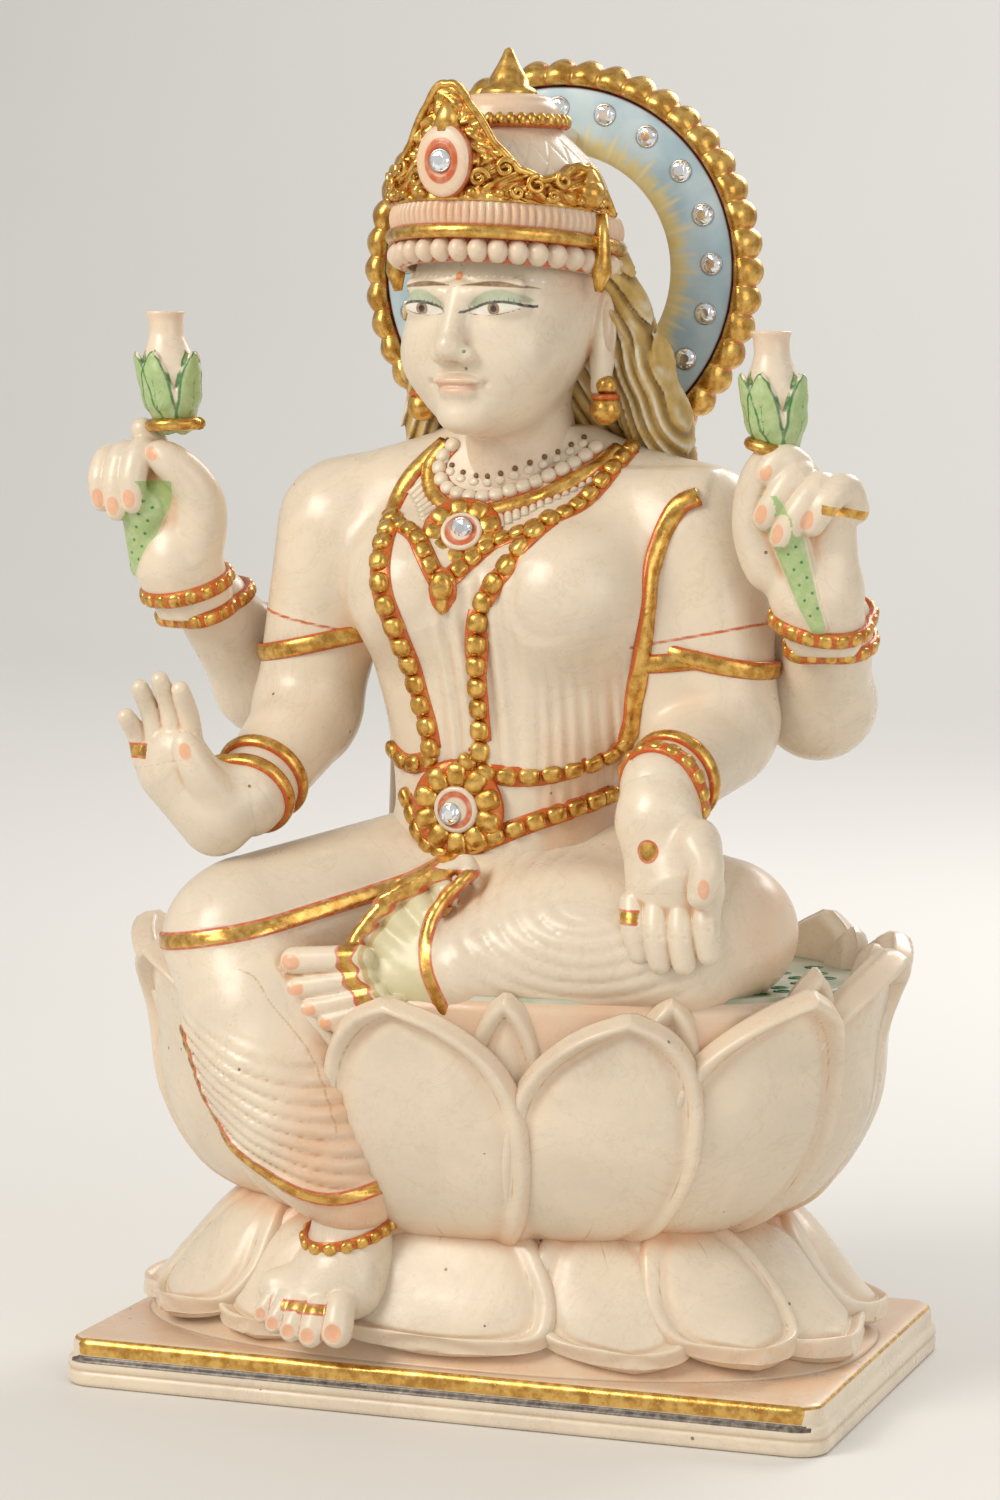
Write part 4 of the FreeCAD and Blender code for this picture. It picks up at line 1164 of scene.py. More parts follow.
def make_torso():
    c = Clay((-90, -66, 128), (92, 40, 274), 0.8)
    c.add(Stack(TORSO))
    for side in (-1, 1):
        c.add(Ball((side * 22, -22, 227), (20, 18.5, 19.5)), blend=9)
        c.add(Rod((side * 55, 1, 243), (side * 63, -3, 194), 18.5, 15.5), blend=7)
        c.add(Rod((side * 20, 4, 260), (side * 54, 3, 248), 13, 15), blend=7)
        wrist = RIGHT_WRIST if side < 0 else LEFT_WRIST
        c.add(Ball((side * 63, -5, 190), (15.5, 15.5, 15)), blend=4)
        c.add(Rod((side * 63, -8, 187), wrist, 14.6, 11.2), blend=3)
    c.add(Ball((47, -7, 206), (12, 14, 36)), blend=8)
    # shawl over the left shoulder
    shawl = smooth_path(SHAWL, 6)
    shawl = shawl[np.argsort(shawl[:, 1])]

    def cover(x, y, z):
        edge = np.interp(z, shawl[:, 1], shawl[:, 0])
        inside = (
            smooth_step(11, 14, x) * smooth_step(edge + 1.0, edge - 1.0, x) * smooth_step(168, 172, z)
            * (y < 2)
        )
        return 1.1 * inside

    c.press(cover, (8, -60, 165), (72, 10, 262))

    def pleats(x, y, z):
        inside = smooth_step(14, 18, x) * smooth_step(46, 40, x) * smooth_step(215, 190, z) * (y < -10)
        return 0.28 * np.sin(x * 2 * np.pi / 3.6) * inside

    def folds(x, y, z):
        inside = smooth_step(13, 9, np.abs(x + 2)) * smooth_step(236, 224, z) * smooth_step(166, 176, z)
        return 0.5 * np.sin((x + 0.10 * (z - 200)) * 2 * np.pi / 5.5) * inside * (y < -10)

    c.press(pleats, (10, -60, 168), (50, 0, 225))
    c.press(folds, (-16, -60, 162), (14, 0, 240))

    def paint(x, y, z):
        sleeve = np.abs(x) > 41
        tilt = z - 208.5
        red = np.where(sleeve, 0.62 - np.abs(tilt - 8.0 - 0.2 * (np.abs(x) - 58)), -9)
        lines = 0.22 - np.abs((x + 0.2 * np.sin(z * 0.3)) % 3.6 - 1.8)
        lines = np.where((x > 15) & (x < 44) & (z > 172) & (z < 214 - 0.3 * x) & (y < -8), lines, -9)
        wash = 0.5 * smooth_step(196, 176, z) * smooth_step(14, 20, x) * smooth_step(48, 40, x) * (y < -5)
        moss = np.where((x < -40) & (z > 150) & (z < 240), 0.35 - np.abs(x + 47.5 + 0.05 * (z - 200)), -9)
        return {"red": red, "line": lines, "wash": wash, "moss": moss}

    nodes = ("torso", "upper_arm_right", "upper_arm_left", "forearm_right", "forearm_left", "armlets")
    carve("torso_and_arms", c, "marble", nodes, paint)


def make_rear_arms():
    for side, name in ((-1, "right"), (1, "left")):
        low = (-116, -26, 176) if side < 0 else (34, -26, 176)
        high = (-34, 42, 250) if side < 0 else (116, 42, 250)
        c = Clay(low, high, 0.8)
        c.add(Rod((side * 48, 16, 232), (side * 84, 19, 196), 17, 15))
        c.add(Ball((side * 85, 18, 196), (15.5, 15, 15)), blend=4)
        c.add(Rod((side * 85, 17, 197), (side * 94, -3, 220), 15, 11.3), blend=5)
        carve("rear_arm_" + name + "_carved", c, "marble", ("rear_arm_" + name,))


def make_back():
    c = Clay((-72, -6, 112), (72, 52, 266), 1.0)
    rows = (
        (114, 0, 22, 60, 22), (150, 0, 22, 48, 17), (200, 0, 15, 43, 14), (245, 0, 13, 44, 12),
        (262, 0, 12, 34, 9)
    )
    c.add(Stack(rows))

    def folds(x, y, z):
        wave = np.sin(x * 2 * np.pi / 9.0 + 0.8 * np.sin(z * 0.05))
        return 0.9 * wave * smooth_step(250, 225, z) * (y > 10)

    c.press(folds)

    def paint(x, y, z):
        return {"wash": 0.25 * smooth_step(140, 115, z)}

    carve("back_drape_carved", c, "marble", ("back_drape",), paint)


# ---- head, crown and hair ----------------------------------------------------------------------------
HEAD_PIVOT, HEAD_TURN = np.array((0.0, -10.0, 0.0)), turn(yaw=-9.0)
EYE_X, EYE_Z, FOREHEAD_DOT_Z, MOUTH_Z = 11.3, 306.6, 315.8, 285.7


def turned(points):
    return (np.asarray(points, float) - HEAD_PIVOT) @ HEAD_TURN.T + HEAD_PIVOT


def almond(x, z, cx, cz, half_w, up, down):
    """Millimetres inside an eye's opening, outer corner slightly raised."""
    t = np.clip((x - cx) / half_w, -1, 1)
    lift = 0.8 * t
    top = cz + lift + up * (1 - t * t) ** 0.9
    low = cz + lift - down * (1 - t * t) ** 0.9
    return np.where(
        np.abs(x - cx) < half_w, np.minimum(top - z, z - low),
        -np.hypot(np.abs(x - cx) - half_w, z - cz - lift)
    )


def make_head():
    c = Clay((-34, -54, 256), (34, 22, 346), 0.5)
    c.add(Ball((0, -9, 312), (26.5, 29, 31)))
    c.add(Ball((0, -17, 301), (25, 25, 27)), blend=6)
    c.add(Ball((0, -24, 284), (16, 15, 12)), blend=9)
    c.add(Rod((0, 0, 258), (0, -6, 288), 16.5, 15.0), blend=5)
    for side in (-1, 1):
        c.add(Ball((side * 12, -30, 294), (10, 9, 10)), blend=7)
        c.cut(Ball((side * 11, -46, 308.5), (8.5, 6.5, 5.0)), blend=4)
        c.add(Ball((side * 11.2, -35.2, 307.2), (7.8, 5.6, 4.4)), blend=1.4)
        c.add(Rod((side * 5, -41.0, 311.5), (side * 17, -36.5, 313.5), 1.5, 1.1), blend=5)
        c.add(Ball((side * 4.0, -43.0, 294.0), (2.9, 3.0, 2.4)), blend=1.6)
        c.cut(Ball((side * 2.2, -46.0, 292.2), (1.1, 1.2, 0.8)), blend=0.5)
        ear = turn(yaw=side * 18, roll=-8)
        c.add(Ball((side * 27.0, -4, 300), (3.4, 6.6, 12.5), ear), blend=1.5)
        c.cut(Ball((side * 30.0, -6, 303), (2.4, 3.4, 7.5), ear), blend=1.0)
        c.add(Rod((side * 27.4, -6, 292), (side * 27.6, -7, 285), 3.2, 2.8), blend=2)
        c.cut(Ball((side * 8.4, -40.5, 286.2), (1.5, 1.6, 1.0)), blend=1.2)
    c.add(Rod((0, -39.8, 312), (0, -45.2, 297.4), 2.5, 3.3), blend=3.2)
    c.add(Ball((0, -45.6, 295.9), (3.7, 3.5, 3.2)), blend=1.8)
    c.add(Ball((0, -40.6, 286.9), (7.4, 3.4, 1.7)), blend=1.0)
    c.add(Ball((0, -40.4, 284.0), (5.8, 3.3, 1.9)), blend=0.7)
    c.cut(Rod((-7.2, -43.3, 285.7), (7.2, -43.3, 285.7), 0.45), blend=0.6)
    c.add(Ball((0, -36.5, 277.2), (7.5, 6.0, 5.2)), blend=5)

    def paint(x, y, z):
        front = y < -24
        marks = {
            key: np.full_like(x, -9.0)
            for key in ("white", "iris", "dark", "shade", "brow", "leaf", "pearl")
        }
        flush = np.zeros_like(x)

        def mark(key, inside, where=front):
            marks[key] = np.maximum(marks[key], np.where(where, inside, -9))

        for side in (-1, 1):
            cx, cz = side * EYE_X, EYE_Z
            sx = side * (x - cx)
            open_eye = almond(sx, z, 0.0, cz, 7.2, 1.9, 1.5)
            mark("white", open_eye)
            lid = almond(sx, z, 0.4, cz + 1.4, 8.6, 4.6, 1.2)
            mark("shade", np.minimum(lid, z - cz - 0.6 * sx / 8 - 0.2))
            t = np.clip(sx / 8.0, -1.1, 1.25)
            lash = cz + 0.8 * t + 1.9 * np.clip(1 - t * t, 0, 1) ** 0.9
            mark("dark", 0.50 - np.abs(z - lash - 0.1), front & (np.abs(sx) < 9.2))
            low = cz + 0.8 * t - 1.5 * np.clip(1 - t * t, 0, 1) ** 0.9
            mark("dark", 0.24 - np.abs(z - low), front & (np.abs(sx) < 7.4))
            hairs = 0.20 - np.abs((sx + 0.35 * (z - lash)) % 1.25 - 0.62)
            hairs = np.minimum(hairs, np.minimum(z - lash, lash + 1.5 - z))
            mark("dark", hairs, front & (np.abs(sx) < 7.6))
            for key, size in (("iris", 2.0), ("dark", 1.1)):
                mark(key, np.minimum(size - np.hypot(x - cx, z - cz - 0.2), open_eye))
            brow_z = 312.2 + 1.9 * np.cos(np.clip((sx - 1.0) / 9.5, -1.6, 1.6)) - 0.06 * (sx + 8)
            thick = 0.95 * np.clip(1.15 - np.abs(sx) / 11.0, 0.15, 1.0)
            mark("brow", thick - np.abs(z - brow_z), front & (np.abs(sx) < 9.6))
            for k in range(9):
                px = cx + side * (-7.5 + 2.1 * k)
                bend = max(-1.6, min(1.6, (-7.5 + 2.1 * k - 1.0) / 9.5))
                pz = 314.2 + 1.9 * math.cos(bend) - 0.06 * (0.5 + 2.1 * k)
                mark("pearl", 0.52 - np.hypot(x - px, z - pz))
            inner_ear = np.sqrt(((y + 6) / 3.2) ** 2 + ((z - 301) / 8.5) ** 2)
            flush = np.maximum(flush, np.where(side * x > 26, smooth_step(1.3, 0.4, inner_ear) * 0.5, 0))
        marks["nail"] = np.where(front, 1.35 - np.hypot(x, z - FOREHEAD_DOT_Z), -9)
        for dx, dz in ((0, 2.9), (0, -2.9), (2.9, 0), (-2.9, 0)):
            mark("leaf", 0.42 - np.hypot(x - dx, z - FOREHEAD_DOT_Z - dz))
        mark("leaf", 0.62 - np.hypot(x - 4.9, z - 295.0))
        lips = np.minimum(1.0, np.minimum(6.8 - np.abs(x), 3.0 - np.abs(z - 285.6) - 0.03 * x * x))
        marks["lip"] = np.where(front, lips, -9)
        seam = 0.28 - np.abs(z - MOUTH_Z - 0.012 * x * x)
        marks["line"] = np.where(front & (np.abs(x) < 7.2), seam, -9)
        temples = smooth_step(18, 25, np.abs(x)) * smooth_step(300, 315, z)
        wash = 0.16 * smooth_step(278, 268, z) + 0.55 * flush + 0.30 * temples
        marks["wash"] = np.clip(wash, 0, 0.6)
        return marks

    points, faces, fine, broad = c.mesh()
    # The face's hollows, softened; the face material tints them peach and ochre, partly wash and partly
    # painted shade.
    marks = {"fine": fine * 0.7, "broad": broad * 0.6}
    marks.update(paint(points[:, 0], points[:, 1], points[:, 2]))
    build("head_and_neck", turned(points), faces, "face", ("head", "neck"), marks)


CROWN_X, CROWN_Y, CROWN_CENTRE_Y = 30.0, 34.0, -12.0  # half sizes of the crown's oval and its centre
CROWN_PEARLS, CROWN_RIBS = 34, 44.0
CREST_FOOT, MEDALLION_Z = 336, 347.0


def crown_ring(phi):
    """The crown's plan: points round the head, phi 0 at the front."""
    return np.stack([CROWN_X * np.sin(phi), CROWN_CENTRE_Y - CROWN_Y * np.cos(phi)], -1)


def crown_drop(phi):
    return -3.2 * (1.0 - np.cos(phi))


def on_crown(phi, z, out=0.0):
    p = crown_ring(phi)
    n = np.stack([np.sin(phi) / CROWN_X, -np.cos(phi) / CROWN_Y], -1)
    n /= np.linalg.norm(n, axis=-1)[..., None]
    p = p + n * np.asarray(out)[..., None]
    return np.concatenate([p, (z + crown_drop(phi))[..., None]], -1)


def crown_spot(phi, z, out):
    """One point on the crown."""
    return on_crown(np.array([phi]), np.array([z]), np.array([out]))[0]


def crown_band(
    name, low, high, relief, material, marks=None, nodes=(), nphi=240, nz=10, span=math.pi,
    depth=3.0
):
    """A strip round the head between two heights, its relief given by (phi, share of height)."""
    full = span >= math.pi
    phi = np.linspace(-span, span, nphi + 1)
    phi = phi[:-1] if full else phi
    v = np.linspace(0, 1, nz)
    grid_phi, grid_v = np.meshgrid(phi, v)
    top = high(grid_phi) if callable(high) else high + 0 * grid_phi
    z = low + (top - low) * grid_v
    out = relief(grid_phi, grid_v, z)
    front = on_crown(grid_phi, z, out)
    back = on_crown(grid_phi, z, 0 * out - depth)
    points = np.concatenate([front.reshape(-1, 3), back.reshape(-1, 3)])
    n, count = len(phi), len(phi) * nz
    faces = grid_faces(nz, n, wrap=full)
    faces += [tuple(i + count for i in f[::-1]) for f in grid_faces(nz, n, wrap=full)]
    for j in range(n if full else n - 1):
        k = (j + 1) % n
        faces += [
            (k, j, j + count, k + count),
            ((nz - 1) * n + j, (nz - 1) * n + k, (nz - 1) * n + k + count, (nz - 1) * n + j + count)
        ]
    if not full:
        for i in range(nz - 1):
            a, b = i * n, (i + 1) * n
            faces += [
                (a, b, b + count, a + count), (b + n - 1, a + n - 1, a + n - 1 + count, b + n - 1 + count)
            ]
    values = {
        k: np.concatenate([f(grid_phi, grid_v, z).ravel(), np.full(count, -1.0)])
        for k, f in (marks or {}).items()
    }
    return build(name, turned(points), faces, material, nodes, values)


def crest_top(phi):
    a = np.abs(phi)
    rise = (
        24.5 * np.exp(-((a / 0.42) ** 2)) + 6.5 * np.exp(-(((a - 1.25) / 0.26) ** 2)) + 8.5
        - 2.0 * smooth_step(0.4, 1.1, a)
    )
    return 335.5 + rise + 0.9 * np.abs(np.sin(a * 15.0)) - 5.0 * smooth_step(1.35, 1.75, a)


def pearl_relief(phi, v):
    """The crown's row of round beads."""
    across = ((phi * CROWN_PEARLS / (2 * np.pi)) % 1.0) * 2 - 1
    return np.sqrt(np.clip(1 - 0.9 * across ** 2 - 0.95 * (2 * v - 1) ** 2, 0, 1))


def crown_rib(phi):
    return np.abs(np.sin(phi * CROWN_RIBS)) ** 0.7


def crest_swirl(phi, z):
    """The crest's scrolls, as a wave between -1 and 1."""
    h = z - CREST_FOOT
    return np.sin(phi * 21.0 + 3.2 * np.sin(h * 0.42)) * np.sin(h * 0.85 + 2.0 * np.sin(phi * 7.0))


def crest_relief(phi, v, z):
    edge = smooth_step(0.0, 0.10, v) * smooth_step(1.0, 0.90, v)
    scrolls = 1.5 * np.abs(crest_swirl(phi, z)) ** 0.7 * edge
    return 0.9 + scrolls + 0.9 * (1 - edge) - 1.4 * smooth_step(0.96, 1.0, v)


def crest_red(phi, v, z):
    return 0.55 - 2.6 * np.abs(crest_swirl(phi, z)) ** 0.8 - 3 * (v > 0.93) - 3 * (v < 0.07)


def ribbed_relief(phi, v, z):
    return 1.0 + 1.3 * crown_rib(phi) * np.sin(np.pi * np.clip(v, 0.05, 0.95)) ** 0.6


def make_crown_bands():
    marks = {"red": lambda p, v, z: 0.42 - 1.9 * pearl_relief(p, v), "wash": lambda p, v, z: 0.2 + 0 * p}
    crown_band(
        "crown_bead_row", 319.6, 326.6, lambda p, v, z: -1.3 + 4.1 * pearl_relief(p, v), "marble",
        marks, (), 700, 14
    )
    marks = {"red": lambda p, v, z: 0.5 - 6.0 * np.minimum(v, 1 - v)}
    crown_band(
        "crown_gold_band", 326.2, 330.0, lambda p, v, z: 2.2 + 1.0 * np.sin(np.pi * v) ** 0.6, "gilt",
        marks, (), 240, 9
    )
    marks = {
        "wash": lambda p, v, z: 0.55 + 0 * p,
        "red": lambda p, v, z: np.maximum(0.28 - 5.0 * v, 0.28 - 5.0 * (1 - v)),
        "line": lambda p, v, z: 0.3 - 1.2 * crown_rib(p),
    }
    crown_band(
        "crown_ribbed_band", 329.8, 336.6, ribbed_relief, "marble", marks, ("crown_band",),
        1000, 10
    )
    crown_band("crown_crest_carved", 336.4, crest_top, crest_relief, "gilt", {"red": crest_red},
               ("crown_crest",), 460, 40, span=1.72, depth=2.5)


def make_crown_scrolls():
    """Coiled scrolls, corner knobs and side straps laid over the crest."""
    coils = ((0.30, 342.5, 2.7), (0.52, 345.5, 2.5), (0.78, 341.5, 2.6))
    coils += ((1.02, 343.5, 2.3), (0.62, 339.2, 1.6), (0.92, 339.0, 1.6))
    parts = []
    for side in (-1, 1):
        for k, (a, z, r) in enumerate(coils):
            t = np.linspace(0, 2.3 * np.pi, 26)
            rr = r * (1 - 0.72 * t / t[-1])
            phi = side * (a + rr * np.cos(t + 0.7 * k) / 31.0)
            coil = on_crown(phi, z + rr * np.sin(t + 0.7 * k), np.full_like(phi, 2.6))
            parts.append(sweep(coil, [0.85, 0.65], 8))
        knob = crown_spot(side * 1.32, 341.0, 1.2)
        parts.append(blob(knob, (4.6, 4.6, 4.4)))
        parts.append(sweep([knob + (0, 0, 1), knob + (0, 0, 4), knob + (0, -0.4, 8.5)], [3.9, 3.0, 0.6], 14))
        heights, lifts = np.array([336.0, 330.0, 325.0, 320.0, 314.5]), np.array([3.0, 3.4, 3.4, 3.2, 2.4])
        parts.append(sweep(on_crown(np.full(5, side * 1.42), heights, lifts), [1.6, 2.0, 2.4, 2.9, 1.2], 10))
    phi = np.linspace(-1.70, 1.70, 150)
    parts.append(sweep(on_crown(phi, crest_top(phi) - 0.8, np.full_like(phi, 1.6)), [1.15], 8))
    for k in range(13):
        a = 0.19 * (k - 6)
        if abs(a) > 0.15:
            parts.append(blob(crown_spot(a * 1.25, 338.6, 2.4), (1.5, 1.5, 1.3), rings=6, around=10))
    peak = crown_spot(0.0, 361.0, 0.4)
    parts.append(sweep([peak - (0, 0, 6), peak - (0, 0, 1), peak + (0, 0, 4.5)], [4.6, 3.4, 1.0], 14))
    points, faces = join(parts)
    build("crown_scrolls", turned(points), faces, "gilt", ())


def make_medallion():
    plate, around = crown_spot(0.0, MEDALLION_Z, 2.2), 40
    rows = (
        (8.4, 0.5), (8.4, -1.2), (7.6, -2.2), (6.6, -2.6), (4.6, -2.5), (4.2, -2.9), (3.6, -3.1),
        (3.2, -2.6), (0.4, -2.6)
    )
    a = full_turn(around)
    oval = [np.column_stack([r * np.cos(a), np.full(around, dy), 1.22 * r * np.sin(a)]) for r, dy in rows]
    faces = [f[::-1] for f in grid_faces(len(rows), around, wrap=True) + end_caps(len(rows), around)]
    radius = np.repeat([r for r, _ in rows], around)
    red = np.maximum(1.4 - np.abs(radius - 3.9), np.where(radius > 8, 0.8, -1))
    marks = {"red": red, "wash": np.full(len(radius), 0.35)}
    build(
        "crown_medallion_oval", turned(np.concatenate(oval) + plate), faces, "marble",
        ("crown_medallion",), marks
    )


def make_cap():
    """The cap with its woven lines, the gilt beads round the topknot and the finial."""
    rows = ((322, 27.5, 31.5), (336, 28.5, 31.5), (345, 26.0, 28.0), (352, 20.0, 21.5), (357, 15.0, 16.0))
    rows += ((361, 14.6, 15.0), (364.5, 13.0, 13.4), (367.0, 8.0, 8.2), (367.6, 0.4, 0.4))
    count, around = 90, 300
    z = np.linspace(322, 367.6, count)
    zs, hx, hy = (np.array([r[k] for r in rows], float) for k in range(3))
    phi = full_turn(around)[None, :]
    lattice = [np.abs(np.sin(phi * 11 + way * z[:, None] * 0.24)) for way in (1, -1)]
    sink = -0.55 * smooth_step(0.28, 0.0, np.minimum(*lattice)) * smooth_step(356, 352, z)[:, None]
    x = (hermite(zs, hx, z)[:, None] + sink) * np.sin(phi)
    y = CROWN_CENTRE_Y - (hermite(zs, hy, z)[:, None] + sink) * np.cos(phi)
    points = np.stack([x, y, np.repeat(z[:, None], around, 1)], -1).reshape(-1, 3)
    faces = grid_faces(count, around, wrap=True) + end_caps(count, around)
    wash = np.repeat(0.12 + 0.3 * smooth_step(350, 358, z), around)
    # The weave's grooves count as fine hollows, which the marble material tints darker ochre: partly wash,
    # partly painted shade.
    marks = {"fine": np.clip(-sink.ravel() * 1.1, 0, 1), "wash": wash}
    build("crown_cap_woven", turned(points), faces, "marble", ("crown_cap",), marks)
    ring = [(15.6 * math.sin(a), CROWN_CENTRE_Y - 16.4 * math.cos(a), 358.6) for a in full_turn(80)]
    parts = [sweep(ring, [1.5], 8, closed=True)]
    for k in range(34):
        a = 2 * np.pi * k / 34
        parts.append(
            blob(
                (16.2 * math.sin(a), CROWN_CENTRE_Y - 17.0 * math.cos(a), 359.2), (1.55, 1.55, 2.1),
                rings=7, around=10
            )
        )
    points, faces = join(parts)
    red = np.where(points[:, 2] < 357.9, 0.6, -1)
    build("topknot_beads", turned(points), faces, "gilt", ("topknot_band",), {"red": red})
    profile = (
        (366.2, 7.6), (367.2, 8.2), (368.4, 7.6), (369.2, 6.0), (371.5, 5.4), (374.5, 3.6), (377.5, 2.0),
        (379.4, 1.2), (380.0, 0.2)
    )
    phi, around = full_turn(36), 36
    points = [
        np.column_stack([r * np.sin(phi), CROWN_CENTRE_Y - r * np.cos(phi), np.full(around, z)])
        for z, r in profile
    ]
    points = np.concatenate(points)
    faces = grid_faces(len(profile), around, wrap=True) + end_caps(len(profile), around)
    red = np.where(points[:, 2] < 367.0, 0.6, -1)
    build("crown_finial_turned", turned(points), faces, "gilt", ("crown_finial",), {"red": red})


def make_hair():
    c = Clay((-56, -10, 254), (56, 46, 330), 0.7)
    rows = ((255, 6, 26, 38, 9), (268, 5, 23, 38, 13), (282, 3, 18, 36, 17))
    rows += ((296, 1, 12, 32, 20), (310, 0, 5, 29, 24), (328, 0, -2, 27, 25))
    c.add(Stack(rows))
    c.path(
        ((27, -2, 322), (30, 1, 306), (35, 3, 292), (39, 8, 276), (41, 14, 260)), (5, 7, 8, 8.5, 8),
        blend=5
    )
    c.path(
        ((-27, -2, 322), (-29, 3, 306), (-31, 7, 290), (-32, 11, 274), (-32, 16, 260)), (5, 6, 6, 6, 6),
        blend=5
    )

    def strands(x, y, z):
        flow = np.abs(x) - 0.42 * (320 - z) + 3.0 * np.sin((z - 250) * 0.09) - 0.35 * y
        wave = (
            np.sin(flow * 2 * np.pi / 3.6 + 1.0 * np.sin(z * 0.18))
            + 0.5 * np.sin(flow * 2 * np.pi / 1.9 + 0.7 * z * 0.2)
        )
        return 0.6 * wave

    c.press(strands)

    def paint(x, y, z):
        wave = strands(x, y, z)
        # pale marks the ridges of the strands for a painted highlight, fine their valleys for painted shade.
        return {"pale": 1.0 * smooth_step(0.1, 0.7, wave), "fine": smooth_step(0.1, -0.6, wave)}

    carve("hair_locks", c, "hair", ("hair",), paint)


def make_earrings():
    parts = []
    for side in (-1, 1):
        parts.append(blob((side * 29.2, -7.0, 285.6), (3.4, 3.2, 3.2)))
        parts.append(blob((side * 29.4, -7.2, 279.0), (4.6, 4.4, 4.4)))
        parts.append(
            sweep(
                [
                    (side * 29.3 + 3.6 * math.cos(a), -7.1 + 3.4 * math.sin(a), 282.6)
                    for a in full_turn(24)
                ],
                [0.8], 6, closed=True
            )
        )
    points, faces = join(parts)
    build(
        "earring_balls", turned(points), faces, "gilt", ("earrings",),
        {"red": 0.9 - np.abs(points[:, 2] - 282.6)}
    )


# ---- halo --------------------------------------------------------------------------------------------
HALO = np.array((0.0, 36.0, 318.5))
HALO_HOLE, HALO_EDGE, RIM_EDGE, RIM_LOBES = 34.0, 53.4, 61.4, 44
HALO_STONES, STONE_CIRCLE, STONE_RADIUS = 17, 47.0, 2.9


def make_halo():
    around = 528
    a = full_turn(around)
    streak = sum(np.sin(a * k + k * k) * w for k, w in ((61, 0.5), (97, 0.35), (143, 0.3), (23, 0.35)))

    def lathe(rows):
        points = []
        for r, y in rows:
            r, y = np.broadcast_to(r, around), np.broadcast_to(y, around)
            points.append(np.column_stack([HALO[0] + r * np.cos(a), HALO[1] + y, HALO[2] + r * np.sin(a)]))
        n = len(rows)
        faces = [f[::-1] for f in grid_faces(n, around, wrap=True)]
        last = (n - 1) * around
        for j in range(around):
            k = (j + 1) % around
            faces.append((last + k, k, j, last + j))
        return np.concatenate(points), faces

    rows = [(HALO_HOLE, -2.2), (34.4, -3.3), (35.6, -4.0), (38.0, -4.3), (41.0, -4.45), (44.0, -4.5)]
    rows += [(47.0, -4.45), (50.0, -4.2), (52.2, -3.9), (HALO_EDGE, -3.4)]
    rows += [(HALO_EDGE, 3.4), (50.0, 4.0), (36.0, 4.0), (34.3, 3.2), (HALO_HOLE, 2.2)]
    points, faces = lathe(rows)
    radius = np.repeat([r for r, _ in rows], around).astype(float)
    stroke = np.tile(streak, len(rows))
    behind = points[:, 1] > HALO[1]
    bottom = smooth_step(300, 275, points[:, 2])
    marks = {
        "sun": np.clip((41.0 + 1.9 * stroke - radius + 4.0 * bottom) / 3.0, 0, 1),
        "pale": np.where(radius < 42, 0.35 * smooth_step(0.35, 0.9, stroke), 0.0),
        "maroon": np.where(behind, -1, 0.8 - np.abs(radius - 53.3)),
        "back": behind.astype(float),
    }
    build("halo_ring_painted", points, faces, "halo", ("halo_ring",), marks)
    flute = np.abs(np.cos(a * RIM_LOBES / 2)) ** 0.75
    lip = RIM_EDGE - 2.2 * (1 - flute)
    rows = [
        (HALO_EDGE, -3.0), (53.9, -4.6 - 0.6 * flute), (55.2, -5.4 - 1.0 * flute),
        (57.2, -4.8 - 1.6 * flute)
    ]
    rows += [(59.2 - 0.7 * (1 - flute), -3.6 - 1.3 * flute), (60.8 - 1.8 * (1 - flute), -1.6 - 0.6 * flute)]
    rows += [(lip, 0.4), (lip - 0.6, 2.6), (lip - 2.0, 3.6), (54.5, 3.9), (HALO_EDGE, 3.6)]
    points, faces = lathe(rows)
    valley = np.tile(1 - flute, len(rows))
    depth = np.repeat(np.array([1.0, 0.6, 0.2, 0.35, 0.45, 0.5, 0.5, 0.6, 0.8, 0.9, 1.0]), around)
    red = 0.9 * valley * depth + 0.25 * depth - 0.28
    build("halo_rim_fluted", points, faces, "rim", ("halo_rim",), {"red": red})
    bridge = Clay((-9, 0, 350), (9, 40, 366), 0.8)
    bridge.add(Rod((0, 4, 357), (0, 36, 357), 6, 6, (0, 0, 1), 0.6))
    carve("halo_bridge_stone", bridge, "marble")
    turns = [math.radians(-50.0 + 280.0 * i / (HALO_STONES - 1)) for i in range(HALO_STONES)]
    seats = [HALO + (STONE_CIRCLE * math.cos(b), -4.4, STONE_CIRCLE * math.sin(b)) for b in turns]
    rhinestones("halo_rhinestones", seats, STONE_RADIUS, ("halo_stones",))


